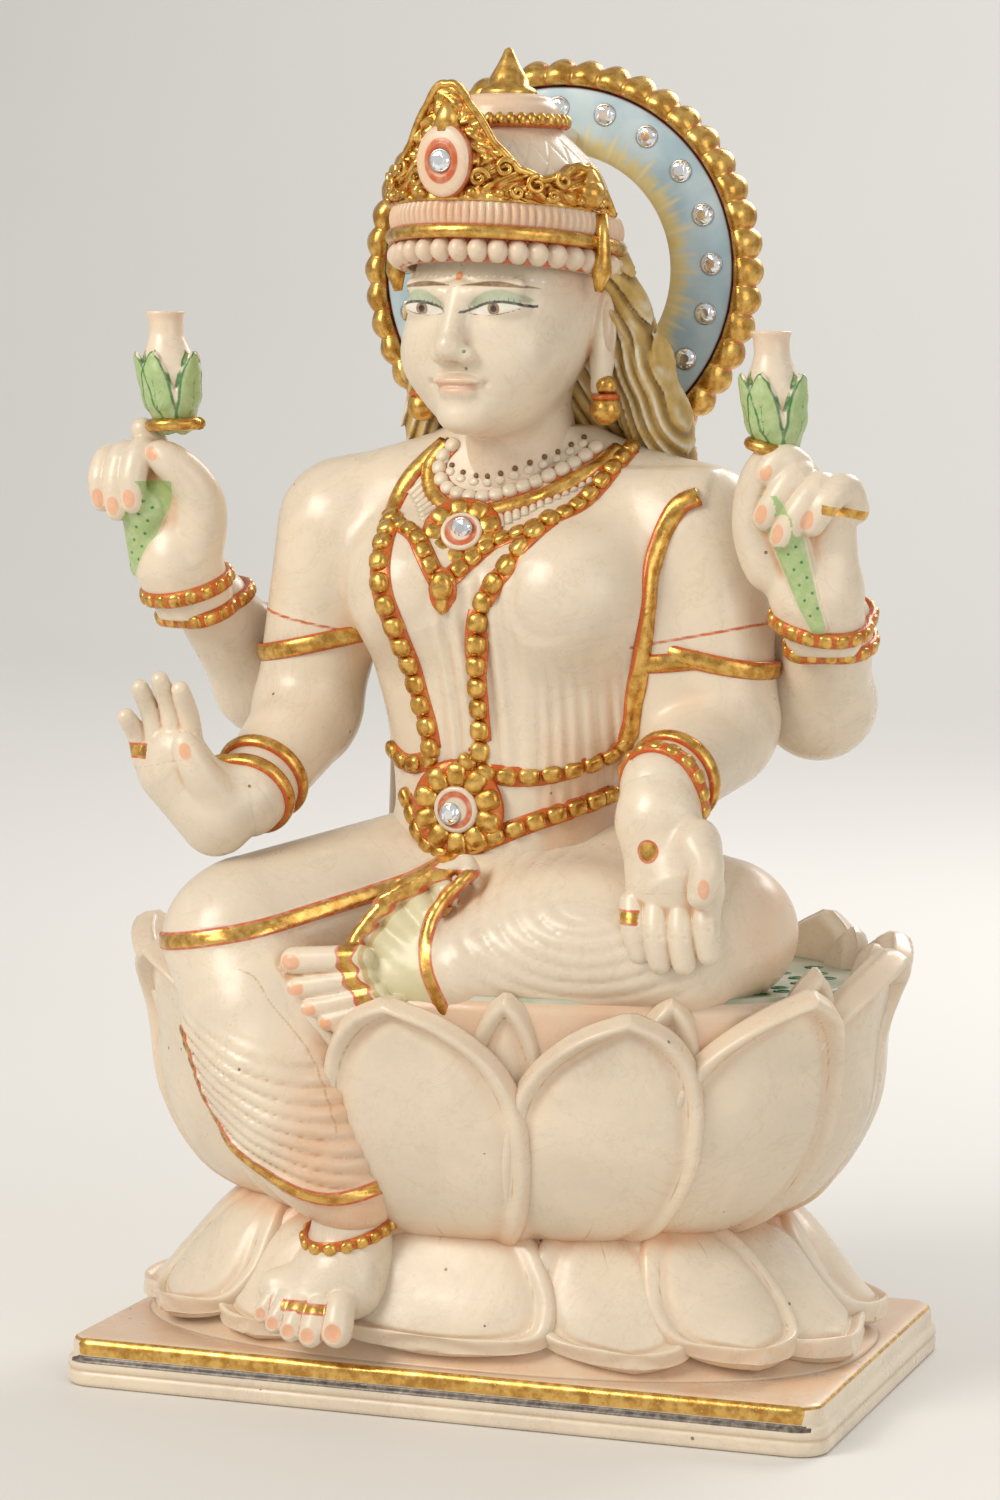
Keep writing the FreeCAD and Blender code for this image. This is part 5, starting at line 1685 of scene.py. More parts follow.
def rhinestones(name, seats, radius, nodes):
    """Foil-backed cut stones, facets and all, each in a low cup."""
    parts = []
    for k, seat in enumerate(seats):
        seat = np.array(seat, float)
        points, around = [], 16
        for r, y, shift in ((1.0, 0.0, 0.0), (1.0, -0.16, 0.0), (0.80, -0.36, 0.5), (0.50, -0.50, 0.0)):
            for j in range(around if r > 0.6 else around // 2):
                m = around if r > 0.6 else around // 2
                b = 2 * np.pi * (j + shift) / m + 0.3 * k
                points.append(seat + radius * np.array((r * math.cos(b), y, r * math.sin(b))))
        faces = []
        for ring in (0, 16):
            for j in range(16):
                q = (j + 1) % 16
                if ring == 0:
                    faces.append((j, j + 16, q + 16, q))
                else:
                    faces += [(16 + j, 32 + j, 16 + q), (16 + q, 32 + j, 32 + q)]
        for j in range(16):
            q = (j + 1) % 16
            faces.append((32 + j, 48 + j // 2, 32 + q))
            if j % 2 == 1:
                faces.append((32 + q, 48 + j // 2, 48 + (j // 2 + 1) % 8))
        faces.append(tuple(range(48, 56)))
        faces.append(tuple(range(16))[::-1])
        parts.append((np.array(points), faces))
    points, faces = join(parts)
    obj = build(name, points, faces, "rhinestone", nodes)
    obj.data.polygons.foreach_set("use_smooth", [False] * len(obj.data.polygons))
    cups = []
    for seat in seats:
        ring = [
            np.array(seat) + (radius * 1.04 * math.cos(b), -0.15, radius * 1.04 * math.sin(b))
            for b in full_turn(24)
        ]
        cups.append(sweep(ring, [0.34], 6, closed=True))
    points, faces = join(cups)
    build(name + "_cups", points, faces, "silver", ())


# ---- hands and lotus buds ----------------------------------------------------------------------------
def finger(c, points, r0, r1, blend=0.9):
    c.path(smooth_path(points, 4), [r0, r1], blend=blend)


def nail_mark(x, y, z, centre, radius, long=1.35, up=(0, 0, 1)):
    """Millimetres inside an oval nail that lies on the skin near centre."""
    up = np.array(up, float) / np.linalg.norm(up)
    rel = np.stack([x, y, z], -1) - np.array(centre)
    along = rel @ up
    across = np.linalg.norm(rel - along[..., None] * up, axis=-1)
    return radius - np.sqrt(across ** 2 + (along / long) ** 2)


def add_fingers(c, roots, tips, bow, r0, r1):
    """Four fingers, each bent at its middle by bow."""
    for root, tip in zip(np.array(roots), np.array(tips)):
        finger(c, (root, (root + tip) / 2 + bow, tip), r0, r1, 0.7)


def cut_creases(c, roots, tips, share, half, depth, slope, radius):
    """A short groove across each finger, part of the way to its tip."""
    for x, y, z in np.array(tips) * share + np.array(roots) * (1 - share):
        c.cut(Rod((x - half, y - depth, z + slope), (x + half, y - depth, z - slope), radius), blend=0.5)


def make_front_hands():
    # right hand raised, palm forward
    c = Clay((-104, -70, 146), (-54, -34, 210), 0.5)
    c.add(Rod((-65, -42, 169), (-72, -47, 166), 11.0, 11.5))
    c.add(Rod((-74, -49, 163), (-85, -51, 177), 11.5, 12.5, (0.25, 1, 0.1), 0.62), blend=4)
    c.add(Ball((-72, -53, 168), (7, 6, 12), turn(pitch=-25)), blend=3)
    roots = ((-94.0, -52, 178), (-89.3, -52.5, 181), (-84.0, -52.5, 182), (-78.8, -52, 181))
    tips = ((-97.5, -56.5, 191), (-92.5, -58, 199.5), (-86.2, -58.5, 202), (-80.2, -58, 199.5))
    add_fingers(c, roots, tips, (0, 1.8, 1.0), 3.1, 2.55)
    finger(c, ((-70, -54, 169), (-74, -58, 176), (-78.0, -60, 184.5)), 5.0, 3.5, 2.0)
    cut_creases(c, roots, tips, 0.55, 2.5, 3.1, 0.3, 0.28)
    c.cut(Rod((-95, -59.2, 176.5), (-79, -59.5, 180.0), 0.35), blend=0.7)

    def paint(x, y, z):
        nail = nail_mark(x, y, z, (-76.4, -62.8, 182.6), 2.0, 1.5, (-0.35, 0, 1))
        line = 0.30 - np.abs(z - 178.2 - 0.22 * (x + 87))
        line = np.where((y < -54) & (x < -76), line, -9)
        palm_line = 0.26 - to_path(((-88, 176), (-87, 168), (-84, 158), (-82, 151)), x, z)
        ring = np.where(x < -91, 1.6 - np.abs(z - 181.5), -9)
        moss = np.where(y < -52, palm_line, -9)
        return {
            "nail": nail, "line": line, "moss": moss, "gold": ring,
            "red": np.where(x < -91, 2.4 - np.abs(z - 181.5), -9)
        }

    carve("hand_right_raised", c, "marble", ("hand_right",), paint)
    # left hand lowered, palm forward
    c = Clay((40, -70, 122), (88, -32, 184), 0.5)
    c.add(Rod((56, -40, 177), (57.5, -46, 168), 11.2, 11.5))
    c.add(Rod((58, -48, 166), (63.5, -52, 151), 11.5, 14.5, (0.05, 1, 0.25), 0.55), blend=4)
    c.add(Ball((70.5, -54, 160), (7, 6.5, 10), turn(pitch=8)), blend=3)
    roots = ((52.8, -54, 146), (59.8, -55, 145), (66.8, -55, 145), (73.6, -54, 147))
    tips = ((55.6, -57, 132.5), (61.8, -58, 130.5), (68.6, -58, 130.5), (75.2, -57, 133.5))
    add_fingers(c, roots, tips, (0, -1.6, 0), 3.9, 3.2)
    finger(c, ((71, -56, 163), (75.0, -59, 157), (73.6, -61, 149.5)), 5.0, 3.4, 1.5)
    c.cut(Rod((50, -60.6, 148.8), (70, -61.4, 150.6), 0.35), blend=0.8)
    cut_creases(c, roots, tips, 0.5, 3, 4.6, 0.0, 0.25)

    def paint_low(x, y, z):
        dot = np.where(y < -50, 2.7 - np.hypot(x - 57.6, z - 160.5), -9)
        nail = nail_mark(x, y, z, (75.4, -63.5, 152.0), 1.9, 1.7)
        ring = np.where(x < 56.0, 1.5 - np.abs(z - 142.5), -9)
        line = np.where(y < -55, 0.28 - np.abs(z - 149.4 - 0.09 * (x - 60)), -9)
        moss = np.where(y < -50, 0.28 - to_path(((68, 166), (66, 158), (68, 151)), x, z), -9)
        return {
            "gold": np.maximum(dot, ring), "red": np.maximum(dot, ring) + 0.75, "nail": nail,
            "line": line, "moss": moss
        }

    carve("hand_left_lowered", c, "marble", ("hand_left",), paint_low)


def bud(name, base, lean, node):
    """A white bud in green sepals, its top cut flat, on a gilt ring."""
    base = np.array(base, float)
    c = Clay(base + (-19, -16, -6), base + (19, 16, 36), 0.5)

    def shift(h):
        return np.array((lean * h, 0, h))

    rows = (
        (-1, 4.6), (3, 5.4), (9, 7.2), (14, 8.0), (18, 7.4), (22, 5.8), (25, 5.0), (28, 5.0), (31.0, 5.9)
    )
    c.add(Stack([(base[2] + h, base[0] + lean * h, base[1], r, r) for h, r in rows]))
    sepals = []
    for k, a in enumerate((-100, -20, 60, 140, 220)):
        d = np.array((math.cos(math.radians(a)), math.sin(math.radians(a)), 0))
        points = [
            base + shift(0) + d * 3.5, base + shift(7) + d * 6.4, base + shift(13) + d * 7.9,
            base + shift(17.5) + d * (9.5 if k else 8.2)
        ]
        sepals.append(d)
        for i in range(3):
            c.add(
                Rod(
                    tuple(points[i]), tuple(points[i + 1]), (4.6, 5.0, 3.9)[i], (5.0, 3.9, 2.1)[i],
                    tuple(d), 0.45
                ),
                blend=0.6
            )
    top = base + shift(31)
    c.cut(Ball(tuple(top + (0, 0, 0.6)), (4.2, 4.2, 1.1)), blend=0.5)

    def paint(x, y, z):
        green = np.full_like(x, -9.0)
        rib = np.full_like(x, -9.0)
        for d in sepals:
            side = np.cross(d, (0, 0, 1.0))
            h = z - base[2]
            sx = (x - base[0] - lean * h) * side[0] + (y - base[1]) * side[1]
            out = (x - base[0] - lean * h) * d[0] + (y - base[1]) * d[1]
            half = np.interp(h, (0, 7, 13, 17, 19.5), (4.8, 5.2, 4.4, 2.6, 0.5))
            inside = np.where((out > 3.2), np.minimum(half - np.abs(sx), 19.5 - h), -9)
            green = np.maximum(green, inside)
            veins = np.maximum(
                0.45 - np.abs(half - 0.5 - np.abs(sx)), 0.30 - np.abs(sx) - 0.05 * np.clip(h - 10, 0, 9)
            )
            sprig = 0.28 - np.abs((h - 1.1 * np.abs(sx)) % 4.0 - 2.0)
            veins = np.maximum(veins, np.where((np.abs(sx) < 2.2) & (h < 11), sprig, -9))
            rib = np.maximum(rib, np.where(out > 3.2, np.minimum(veins, inside + 0.6), -9))
        return {
            "leaf": np.minimum(green, 1.0), "deep": rib,
            "wash": 0.25 * smooth_step(8, 0, np.abs(z - base[2] - 30))
        }

    carve(name, c, "bud", (node,), paint)


def stem_paint(nails, stem_path, widths, reach, above, dots, ring=None):
    """Paint for a hand that holds a stem: nails, the dotted green stem and a gilt finger ring."""

    def paint(x, y, z):
        nail = np.maximum.reduce([nail_mark(x, y, z, n, 2.1, 1.5, up) for n, up in nails])
        stem, share = to_path(stem_path, x, z, with_share=True)
        green = np.where((y < reach) & (z < 257), np.interp(share, *widths) - stem, -9)
        green = np.where((nail > -1.6) & (z > above), -9, green)
        spots = np.full_like(x, -9.0)
        for px, pz, radius in dots:
            spots = np.maximum(spots, radius - np.hypot(x - px, z - pz))
        marks = {"nail": nail, "leaf": np.minimum(green, 0.9), "deep": np.where(green > 0, spots, -9)}
        marks["line"] = 0.35 - np.abs(green + 0.2)
        if ring is not None:
            marks["gold"] = ring(x, y, z)
        return marks

    return paint


def left_ring(x, y, z):
    return np.where((x > 98) & (y < -14), 1.5 - np.abs(z - 252.4 + 0.25 * (x - 102)), -9)


def make_rear_hands():
    # left hand (towards +X)
    c = Clay((66, -38, 212), (112, -2, 276), 0.5)
    c.add(Rod((94, -12, 220), (93, -16, 229), 11.6, 12.5))
    c.add(Rod((92.5, -17, 231), (89.5, -18, 249), 12.6, 14.5, (0, 1, 0), 0.62), blend=4)
    finger(c, ((80, -19, 236), (76.5, -21, 248), (77.5, -23, 259), (80.5, -24, 266)), 6.4, 4.2, 3)
    finger(c, ((88, -18, 252), (89, -22, 263), (85, -26, 266.5), (82.0, -28, 263.0)), 4.8, 3.9, 1.5)
    finger(c, ((90, -18, 258), (89, -26, 262), (85, -29, 256), (81.6, -29, 250.6)), 4.9, 3.7, 0.9)
    finger(c, ((97, -18, 256), (95.5, -26, 259), (91, -30, 252.5), (86.4, -30, 245.2)), 4.7, 3.5, 0.9)
    finger(c, ((103, -17, 253), (102, -24, 259), (98.5, -29, 255), (94.6, -29, 249.0)), 4.4, 3.3, 0.9)
    c.add(Rod((95.5, -25, 222), (87.5, -27, 246), 3.2, 5.8, (0, 1, 0), 0.7), blend=1.2)

    nails = [((81.8, -32.4, 262.6), (0.5, 0, 1)), ((80.9, -32.6, 251.6), (0.4, 0, 1))]
    nails += [((85.8, -33.4, 246.4), (0.4, 0, 1)), ((94.0, -32.2, 250.4), (0.4, 0, 1))]
    stem = ((95.8, 221), (91.5, 233), (87.0, 247), (82, 257))
    widths = (0, 0.3, 0.7, 1.0), (2.6, 3.8, 5.2, 3.0)
    dots = [(95.4 - 0.72 * k + (1.5 if k % 2 else -1.3), 224.0 + 2.1 * k, 0.62) for k in range(11)]
    paint = stem_paint(nails, stem, widths, -24, 243, dots, left_ring)
    carve("rear_hand_left_carved", c, "bud", ("rear_hand_left",), paint)
    # right hand (towards -X)
    c = Clay((-128, -38, 216), (-80, -2, 282), 0.5)
    c.add(Rod((-96, -12, 222), (-99, -16, 233), 11.6, 12.6))
    c.add(Rod((-99.5, -17, 235), (-103, -18, 252), 12.6, 14.0, (0, 1, 0), 0.62), blend=4)
    finger(c, ((-91, -18, 240), (-90, -21, 252), (-94.5, -25, 260), (-100.5, -27, 264.5)), 6.4, 3.9, 3)
    finger(c, ((-100, -18, 255), (-105, -20, 266), (-107.5, -23, 271.5)), 5.0, 3.4, 2)
    finger(
        c, ((-103, -18, 258), (-106.5, -26, 265), (-107.4, -30, 258), (-107.0, -30, 250.6)), 4.6, 3.5, 0.9
    )
    finger(
        c, ((-109, -18, 258), (-112.2, -25, 264), (-113.0, -29.5, 256), (-112.4, -29.5, 248.2)), 4.5, 3.3,
        0.9
    )
    finger(
        c, ((-114.5, -17, 256), (-118.2, -23, 263), (-118.8, -27.5, 257), (-118.0, -27.5, 250.6)), 4.2,
        3.2, 0.9
    )
    c.add(Rod((-109.5, -22, 231), (-106, -26, 248), 2.2, 7.0, (0, 1, 0), 0.6), blend=1.2)

    nails = [((-101.6, -31.2, 265.0), (1, 0, -0.8)), ((-107.2, -33.6, 251.6), (0, 0, 1))]
    nails += [((-112.6, -32.8, 249.4), (0, 0, 1)), ((-118.2, -30.6, 251.6), (0, 0, 1))]
    stem = ((-110.5, 230), (-108, 240), (-103.5, 251), (-98, 257))
    widths = (0, 0.45, 0.8, 1.0), (1.6, 6.0, 6.4, 3.0)
    dots = [(-110.0 + 0.75 * k + (1.6 if k % 2 else -1.4), 232.0 + 1.9 * k, 0.66) for k in range(11)]
    paint = stem_paint(nails, stem, widths, -21, 244, dots)
    carve("rear_hand_right_carved", c, "bud", ("rear_hand_right",), paint)
    bud("lotus_bud_left_carved", (82.5, -22, 270.5), -0.08, "lotus_bud_left")
    bud("lotus_bud_right_carved", (-98.0, -22, 274.5), -0.10, "lotus_bud_right")
    rings = []
    for centre, r, tilt in (
        ((81.0, -22.5, 269.4), 6.0, (0.25, 0, 1)), ((-97.4, -22.5, 273.0), 7.0, (-0.05, 0, 1))
    ):
        n = np.array(tilt) / np.linalg.norm(tilt)
        u = np.cross(n, (0, 1, 0))
        v = np.cross(n, u)
        loop = [
            np.array(centre) + r * (u / np.linalg.norm(u) * math.cos(t) + v * math.sin(t))
            for t in full_turn(40)
        ]
        rings.append(sweep(loop, [1.9], 10, closed=True))
    points, faces = join(rings)
    build("bud_rings", points, faces, "gilt", ())


# ---- gilt trim laid on the stone ---------------------------------------------------------------------
class Skin:
    """Finds the surface of pieces already carved."""

    def __init__(self, *names):
        points, faces = [], []
        for name in names:
            mesh = pieces[name].data
            flat = np.empty(3 * len(mesh.vertices), np.float32)
            mesh.vertices.foreach_get("co", flat)
            faces += [tuple(v + len(points) for v in p.vertices) for p in mesh.polygons]
            points += (flat.reshape(-1, 3) / MM).tolist()
        self.tree = BVHTree.FromPolygons(points, faces)

    def front(self, x, z):
        hit, normal, _, _ = self.tree.ray_cast((x, -96.0, z), (0, 1, 0))
        if hit is None:
            hit, normal, _, _ = self.tree.find_nearest((x, -30.0, z))
        return hit, -normal if normal.y > 0 else normal

    def lay(self, path, step):
        """Evenly spaced points, directions along and outward normals of an (x, z) path on the front."""
        dense = smooth_path(path, 10)
        points = np.array([self.front(x, z)[0] for x, z in dense])
        points[1:-1] = (points[:-2] + 2 * points[1:-1] + points[2:]) / 4
        length = np.concatenate([[0], np.cumsum(np.linalg.norm(np.diff(points, axis=0), axis=1))])
        count = max(2, int(round(length[-1] / step)) + 1)
        at = np.linspace(0, length[-1], count)
        points = np.stack([np.interp(at, length, points[:, k]) for k in range(3)], -1)
        along = np.gradient(points, axis=0)
        along /= np.linalg.norm(along, axis=1)[:, None]
        out = np.array([self.tree.find_nearest(p)[1] for p in points])
        out *= -np.sign(out[:, 1:2])
        out[1:-1] = (out[:-2] + out[1:-1] + out[2:]) / 3
        out -= (out * along).sum(1)[:, None] * along
        out /= np.linalg.norm(out, axis=1)[:, None]
        return points, along, out

    def cuff(self, centre, axis, limit, around=72):
        """A closed loop round a limb, and its outward directions."""
        axis = np.array(axis, float) / np.linalg.norm(axis)
        u = np.cross(axis, (0.3, 1, 0.1))
        u /= np.linalg.norm(u)
        v = np.cross(axis, u)
        points, out = [], []
        for t in full_turn(around):
            d = u * math.cos(t) + v * math.sin(t)
            reach = 0.0
            for _ in range(8):
                hit, _, _, more = self.tree.ray_cast(tuple(np.array(centre) + d * (reach + 0.02)), tuple(d))
                if hit is None or reach + more > limit:
                    break
                reach += more + 0.02
            points.append(reach if reach > 4.0 else limit)
            out.append(d)
        reach = np.array(points)
        for _ in range(4):
            reach = (np.roll(reach, 1) + 2 * reach + np.roll(reach, -1)) / 4
        return np.array(centre) + np.array(out) * reach[:, None], np.array(out)


def pebble(at, along, out, size, square=0.8, rings=7, around=16):
    """A bead on a surface: half length, half width and height; square below 1 flattens its sides."""
    across = np.cross(out, along)
    a = full_turn(around)
    ca = np.sign(np.cos(a)) * np.abs(np.cos(a)) ** square
    sa = np.sign(np.sin(a)) * np.abs(np.sin(a)) ** square
    points = []
    for e in np.linspace(-0.35, 1.54, rings):
        r, h = math.cos(e) ** 0.5, math.sin(e)
        points += list(
            at + np.outer(ca * size[0] * r, along) + np.outer(sa * size[1] * r, across)
            + out * size[2] * h
        )
    faces = grid_faces(rings, around, wrap=True)
    return points, faces + end_caps(rings, around)


class Trim:
    """Beads, ribbons and plates gathered into one piece, with a red mark where they are outlined."""

    def __init__(self):
        self.parts, self.red = [], []

    def add(self, part, red=-1.0):
        self.parts.append(part)
        self.red.append(np.broadcast_to(np.asarray(red, float), len(part[0])))

    def ribbon(self, laid, half, thick, edge=0.7, closed=False, lift=0.0):
        """A rounded band; red stands edge millimetres in from its sides."""
        points, _, out = laid
        around = 14
        part = sweep(points + out * lift, [half], around, closed, (1.0, thick / half), out)
        side = np.abs(np.cos(2 * np.pi * np.arange(around) / around))
        self.add(part, np.tile(side * half - (half - edge), len(points)))

    def beads(self, laid, size, square=0.8):
        for at, along, out in zip(*laid):
            self.add(pebble(at + out * 0.35, along, out, size, square))

    def finish(self, name, material, slot, nodes=()):
        points, faces = join(self.parts)
        return build(name, points, faces, material, nodes, {"red": np.concatenate(self.red)})


def rosette(skin, centre, disc, petals, petal_size, petal_r, gold, stone, red_r):
    """A white disc with a red ring inside a ring of gilt petals."""
    hit, normal = skin.front(*centre)
    out = np.array((normal[0] * 0.5, normal[1], normal[2] * 0.5))
    out /= np.linalg.norm(out)
    u = np.cross((0, 0, 1.0), out)
    u /= np.linalg.norm(u)
    v = np.cross(out, u)
    base = np.array(hit) + out * 0.6
    for k in range(petals):
        t = 2 * np.pi * (k + 0.5) / petals
        d = u * math.cos(t) + v * math.sin(t)
        gold.add(pebble(base + d * petal_r, d, out, petal_size, 0.72))
    gold.add(sweep([base + (u * math.cos(t) + v * math.sin(t)) * petal_r + out * 0.1 for t in full_turn(40)],
                   [petal_size[0] + 0.5], 10, True, (1.0, 0.28), out), 1.0)
    rows = (
        (disc, -1.0), (disc, 1.6), (disc * 0.93, 2.3), (disc * 0.80, 2.4), (red_r, 2.1),
        (red_r * 0.85, 2.2), (0.3, 2.4)
    )
    ring = [2 * np.pi * k / 40 for k in range(40)]
    points = [base + (u * math.cos(t) + v * math.sin(t)) * r + out * h for r, h in rows for t in ring]
    faces = grid_faces(len(rows), 40, wrap=True) + [tuple(range(6 * 40, 7 * 40))]
    radius = np.repeat([r for r, _ in rows], 40)
    white = (
        np.array(points), faces,
        np.maximum(0.9 - np.abs(radius - red_r * 0.95), np.where(radius > disc - 0.05, 0.5, -1))
    )
    return white, (np.array(hit) + out * 3.1 + u * stone[0] + v * stone[1])


# paths over the front of the figure, as (x, z)
BEAD_ROW = (
    (-17, 268), (-20, 263.5), (-19.3, 259.5), (-17.5, 257), (-14, 255), (-10, 254), (-5.5, 253.7),
    (-0.5, 254.5), (5.5, 256.5), (11.5, 259), (17.5, 262), (22, 265), (25, 268)
)
COLLAR_BAND = (
    (-19, 269), (-23, 263), (-22.7, 258.5), (-20.5, 254.5), (-16, 251.5), (-9, 250), (-2.3, 250),
    (5.3, 252), (13.7, 255), (21, 259), (28, 264.5), (31, 268)
)
COLLAR_LEFT = ((-20, 269), (-25.5, 263.5), (-29.5, 258), (-31.8, 252), (-32.3, 246.5))
COLLAR_V = (
    ((-32, 248), (-28, 246.3), (-23, 245), (-19.2, 243), (-16.2, 239.5), (-13.6, 235.7), (-10.6, 231)),
    (
        (34, 268), (31.5, 263), (27.4, 256.6), (22.5, 251), (16.7, 247.6), (9.2, 244.3), (2.5, 241.7),
        (-2.6, 237.2), (-8.6, 231)
    )
)
COLLAR_FRINGE = (  # upper and lower edge, count
    (((-1, 249.5), (26.5, 262.5)), ((1.0, 244.5), (28, 259.5)), 14),
    (((-23.5, 259), (-15, 251)), ((-28, 254), (-20, 247)), 7),
)
GARLAND = (
    (
        (-30, 247), (-28.6, 240), (-27.9, 233.7), (-26.3, 226.5), (-24.2, 220.5), (-22.4, 213.8),
        (-21, 207.8), (-19.7, 201), (-18.2, 195), (-16.6, 189.8), (-15.3, 183)
    ),
    (
        (18, 248), (12.6, 241), (8.9, 235.5), (5.1, 230.3), (1.6, 224), (0.3, 217), (0, 210.5),
        (0, 203.3), (0.2, 197), (0.3, 190.5), (0, 183)
    )
)
BELT = (
    ((-31, 181), (-28.5, 179.5), (-25, 178), (-20, 178.5), (-16, 180)),
    ((-3.5, 180), (0, 177.8), (6, 176.5), (13, 176.3), (20.5, 177.3), (27, 179), (33, 181.7), (38, 186)),
    ((-25, 168), (-22.5, 163.5), (-20, 159), (-17, 156), (-12, 153.5)),
    ((-1, 156.5), (4, 158.8), (9, 161), (15.6, 163.7), (23, 166.4), (29, 168.8), (32.5, 170.4)),
)
SHAWL_BORDER = (
    (38, 185.5), (40.5, 190.5), (41.8, 198), (43.6, 206.6), (45, 215.5), (46, 225), (46.4, 234.3),
    (47.5, 241), (50, 248), (53.5, 253.5), (58, 255.5)
)
SLEEVE_TRIM = ((44.5, 208.5), (49, 208.8), (54, 209.3), (60, 210))
DOWN = np.array((0, 0, -1.0))


def make_collar(skin):
    """The necklace with its beads, fringe, rosette and drop; returns the seat of its stone."""
    gold, white, brown = Trim(), Trim(), Trim()
    white.beads(skin.lay(BEAD_ROW, 4.1), (2.3, 2.1, 1.7), 0.9)
    gold.ribbon(skin.lay(BEAD_ROW, 1.5), 2.3, 0.35, 3.0)
    gold.ribbon(skin.lay(COLLAR_BAND, 1.5), 2.5, 1.7, 0.75)
    gold.ribbon(skin.lay(COLLAR_LEFT, 1.5), 2.7, 1.5, 0.8)
    for path in COLLAR_V:
        gold.ribbon(skin.lay(path, 1.5), 2.9, 0.5, 4.0)
        gold.beads(skin.lay(path, 5.2), (2.62, 2.35, 1.8), 0.7)
    for top, low, count in COLLAR_FRINGE:
        for t in np.arange(count) / (count - 1):
            a, b = (np.array(edge[0]) * (1 - t) + np.array(edge[1]) * t for edge in (top, low))
            points, _, out = skin.lay((a, (a + b) / 2, b), 1.5)
            white.add(sweep(points, [1.15], 8, False, (1, 0.8), out))
    disc, stone = rosette(skin, (-7.4, 243.5), 6.0, 9, (3.1, 2.9, 2.1), 8.0, gold, (0.2, 0.6), 4.2)
    white.add(disc[:2], disc[2])
    at, out = (np.array(v) for v in skin.front(-9.5, 228.0))
    gold.add(pebble(at + (0, 0, 1.5), DOWN, out, (4.6, 3.4, 3.2), 1.0))
    gold.add(pebble(at + (0, 0, -2.5), DOWN, out, (4.0, 1.9, 2.2), 1.0))
    gold.add(pebble(at + (0, 0.2, 0.5), DOWN, out, (6.6, 4.3, 1.2), 1.0), 1.0)
    for laid in zip(*skin.lay([(x * 0.97, z + 4.2) for x, z in BEAD_ROW[1:-1]], 4.6)):
        white.add(pebble(*laid, (1.5, 1.3, 0.8), 1.0))
    gold.finish("collar_gilt", "gilt", "gilt", ("necklace",))
    white.finish("collar_white", "marble", "marble", ())
    for laid in zip(*skin.lay([(x * 0.96, z + 6.0) for x, z in BEAD_ROW[1:-1]], 4.6)):
        brown.add(pebble(*laid, (0.85, 0.85, 0.7), 1.0))
    brown.finish("collar_dots", "clay_brown", "marble", ())
    return stone


def make_garland(skin):
    strands = Trim()
    for path in GARLAND:
        strands.ribbon(skin.lay(path, 2.0), 3.45, 0.7, 5.0)
        strands.beads(skin.lay(path, 6.3), (3.1, 2.95, 2.6), 0.72)
    strands.finish("garland_beads", "gilt", "gilt", ("garland",))


def make_belt(skin):
    """The belt, the shawl's border and the clasp; returns the seat of the clasp's stone."""
    belt, clasp, plate = Trim(), Trim(), Trim()
    for path in BELT:
        belt.ribbon(skin.lay(path, 1.5), 2.9, 0.6, 4.0)
        belt.beads(skin.lay(path, 6.0), (3.05, 2.45, 1.9), 0.68)
    belt.ribbon(skin.lay(SHAWL_BORDER, 1.5), 3.0, 1.9, 0.9)
    belt.ribbon(skin.lay(SLEEVE_TRIM, 1.5), 2.7, 1.3, 0.8)
    belt.finish("belt_beads", "gilt", "gilt", ("waist_belt",))
    disc, stone = rosette(skin, (-6.5, 166.5), 6.8, 10, (3.9, 3.3, 2.6), 9.8, clasp, (-1.4, -1.2), 4.9)
    clasp.finish("belt_clasp_petals", "gilt", "gilt", ("belt_clasp",))
    plate.add(disc[:2], disc[2])
    plate.finish("belt_clasp_disc", "marble", "marble", ())
    return stone


def make_torso_trim():
    skin = Skin("torso_and_arms", "head_and_neck")
    collar_stone = make_collar(skin)
    make_garland(skin)
    belt_stone = make_belt(skin)
    medallion = turned([crown_spot(0.0, MEDALLION_Z, 2.2) + (0, -2.9, 0)])[0]
    rhinestones("jewel_rhinestones", [medallion, collar_stone, belt_stone], 2.8, ("jewel_stones",))


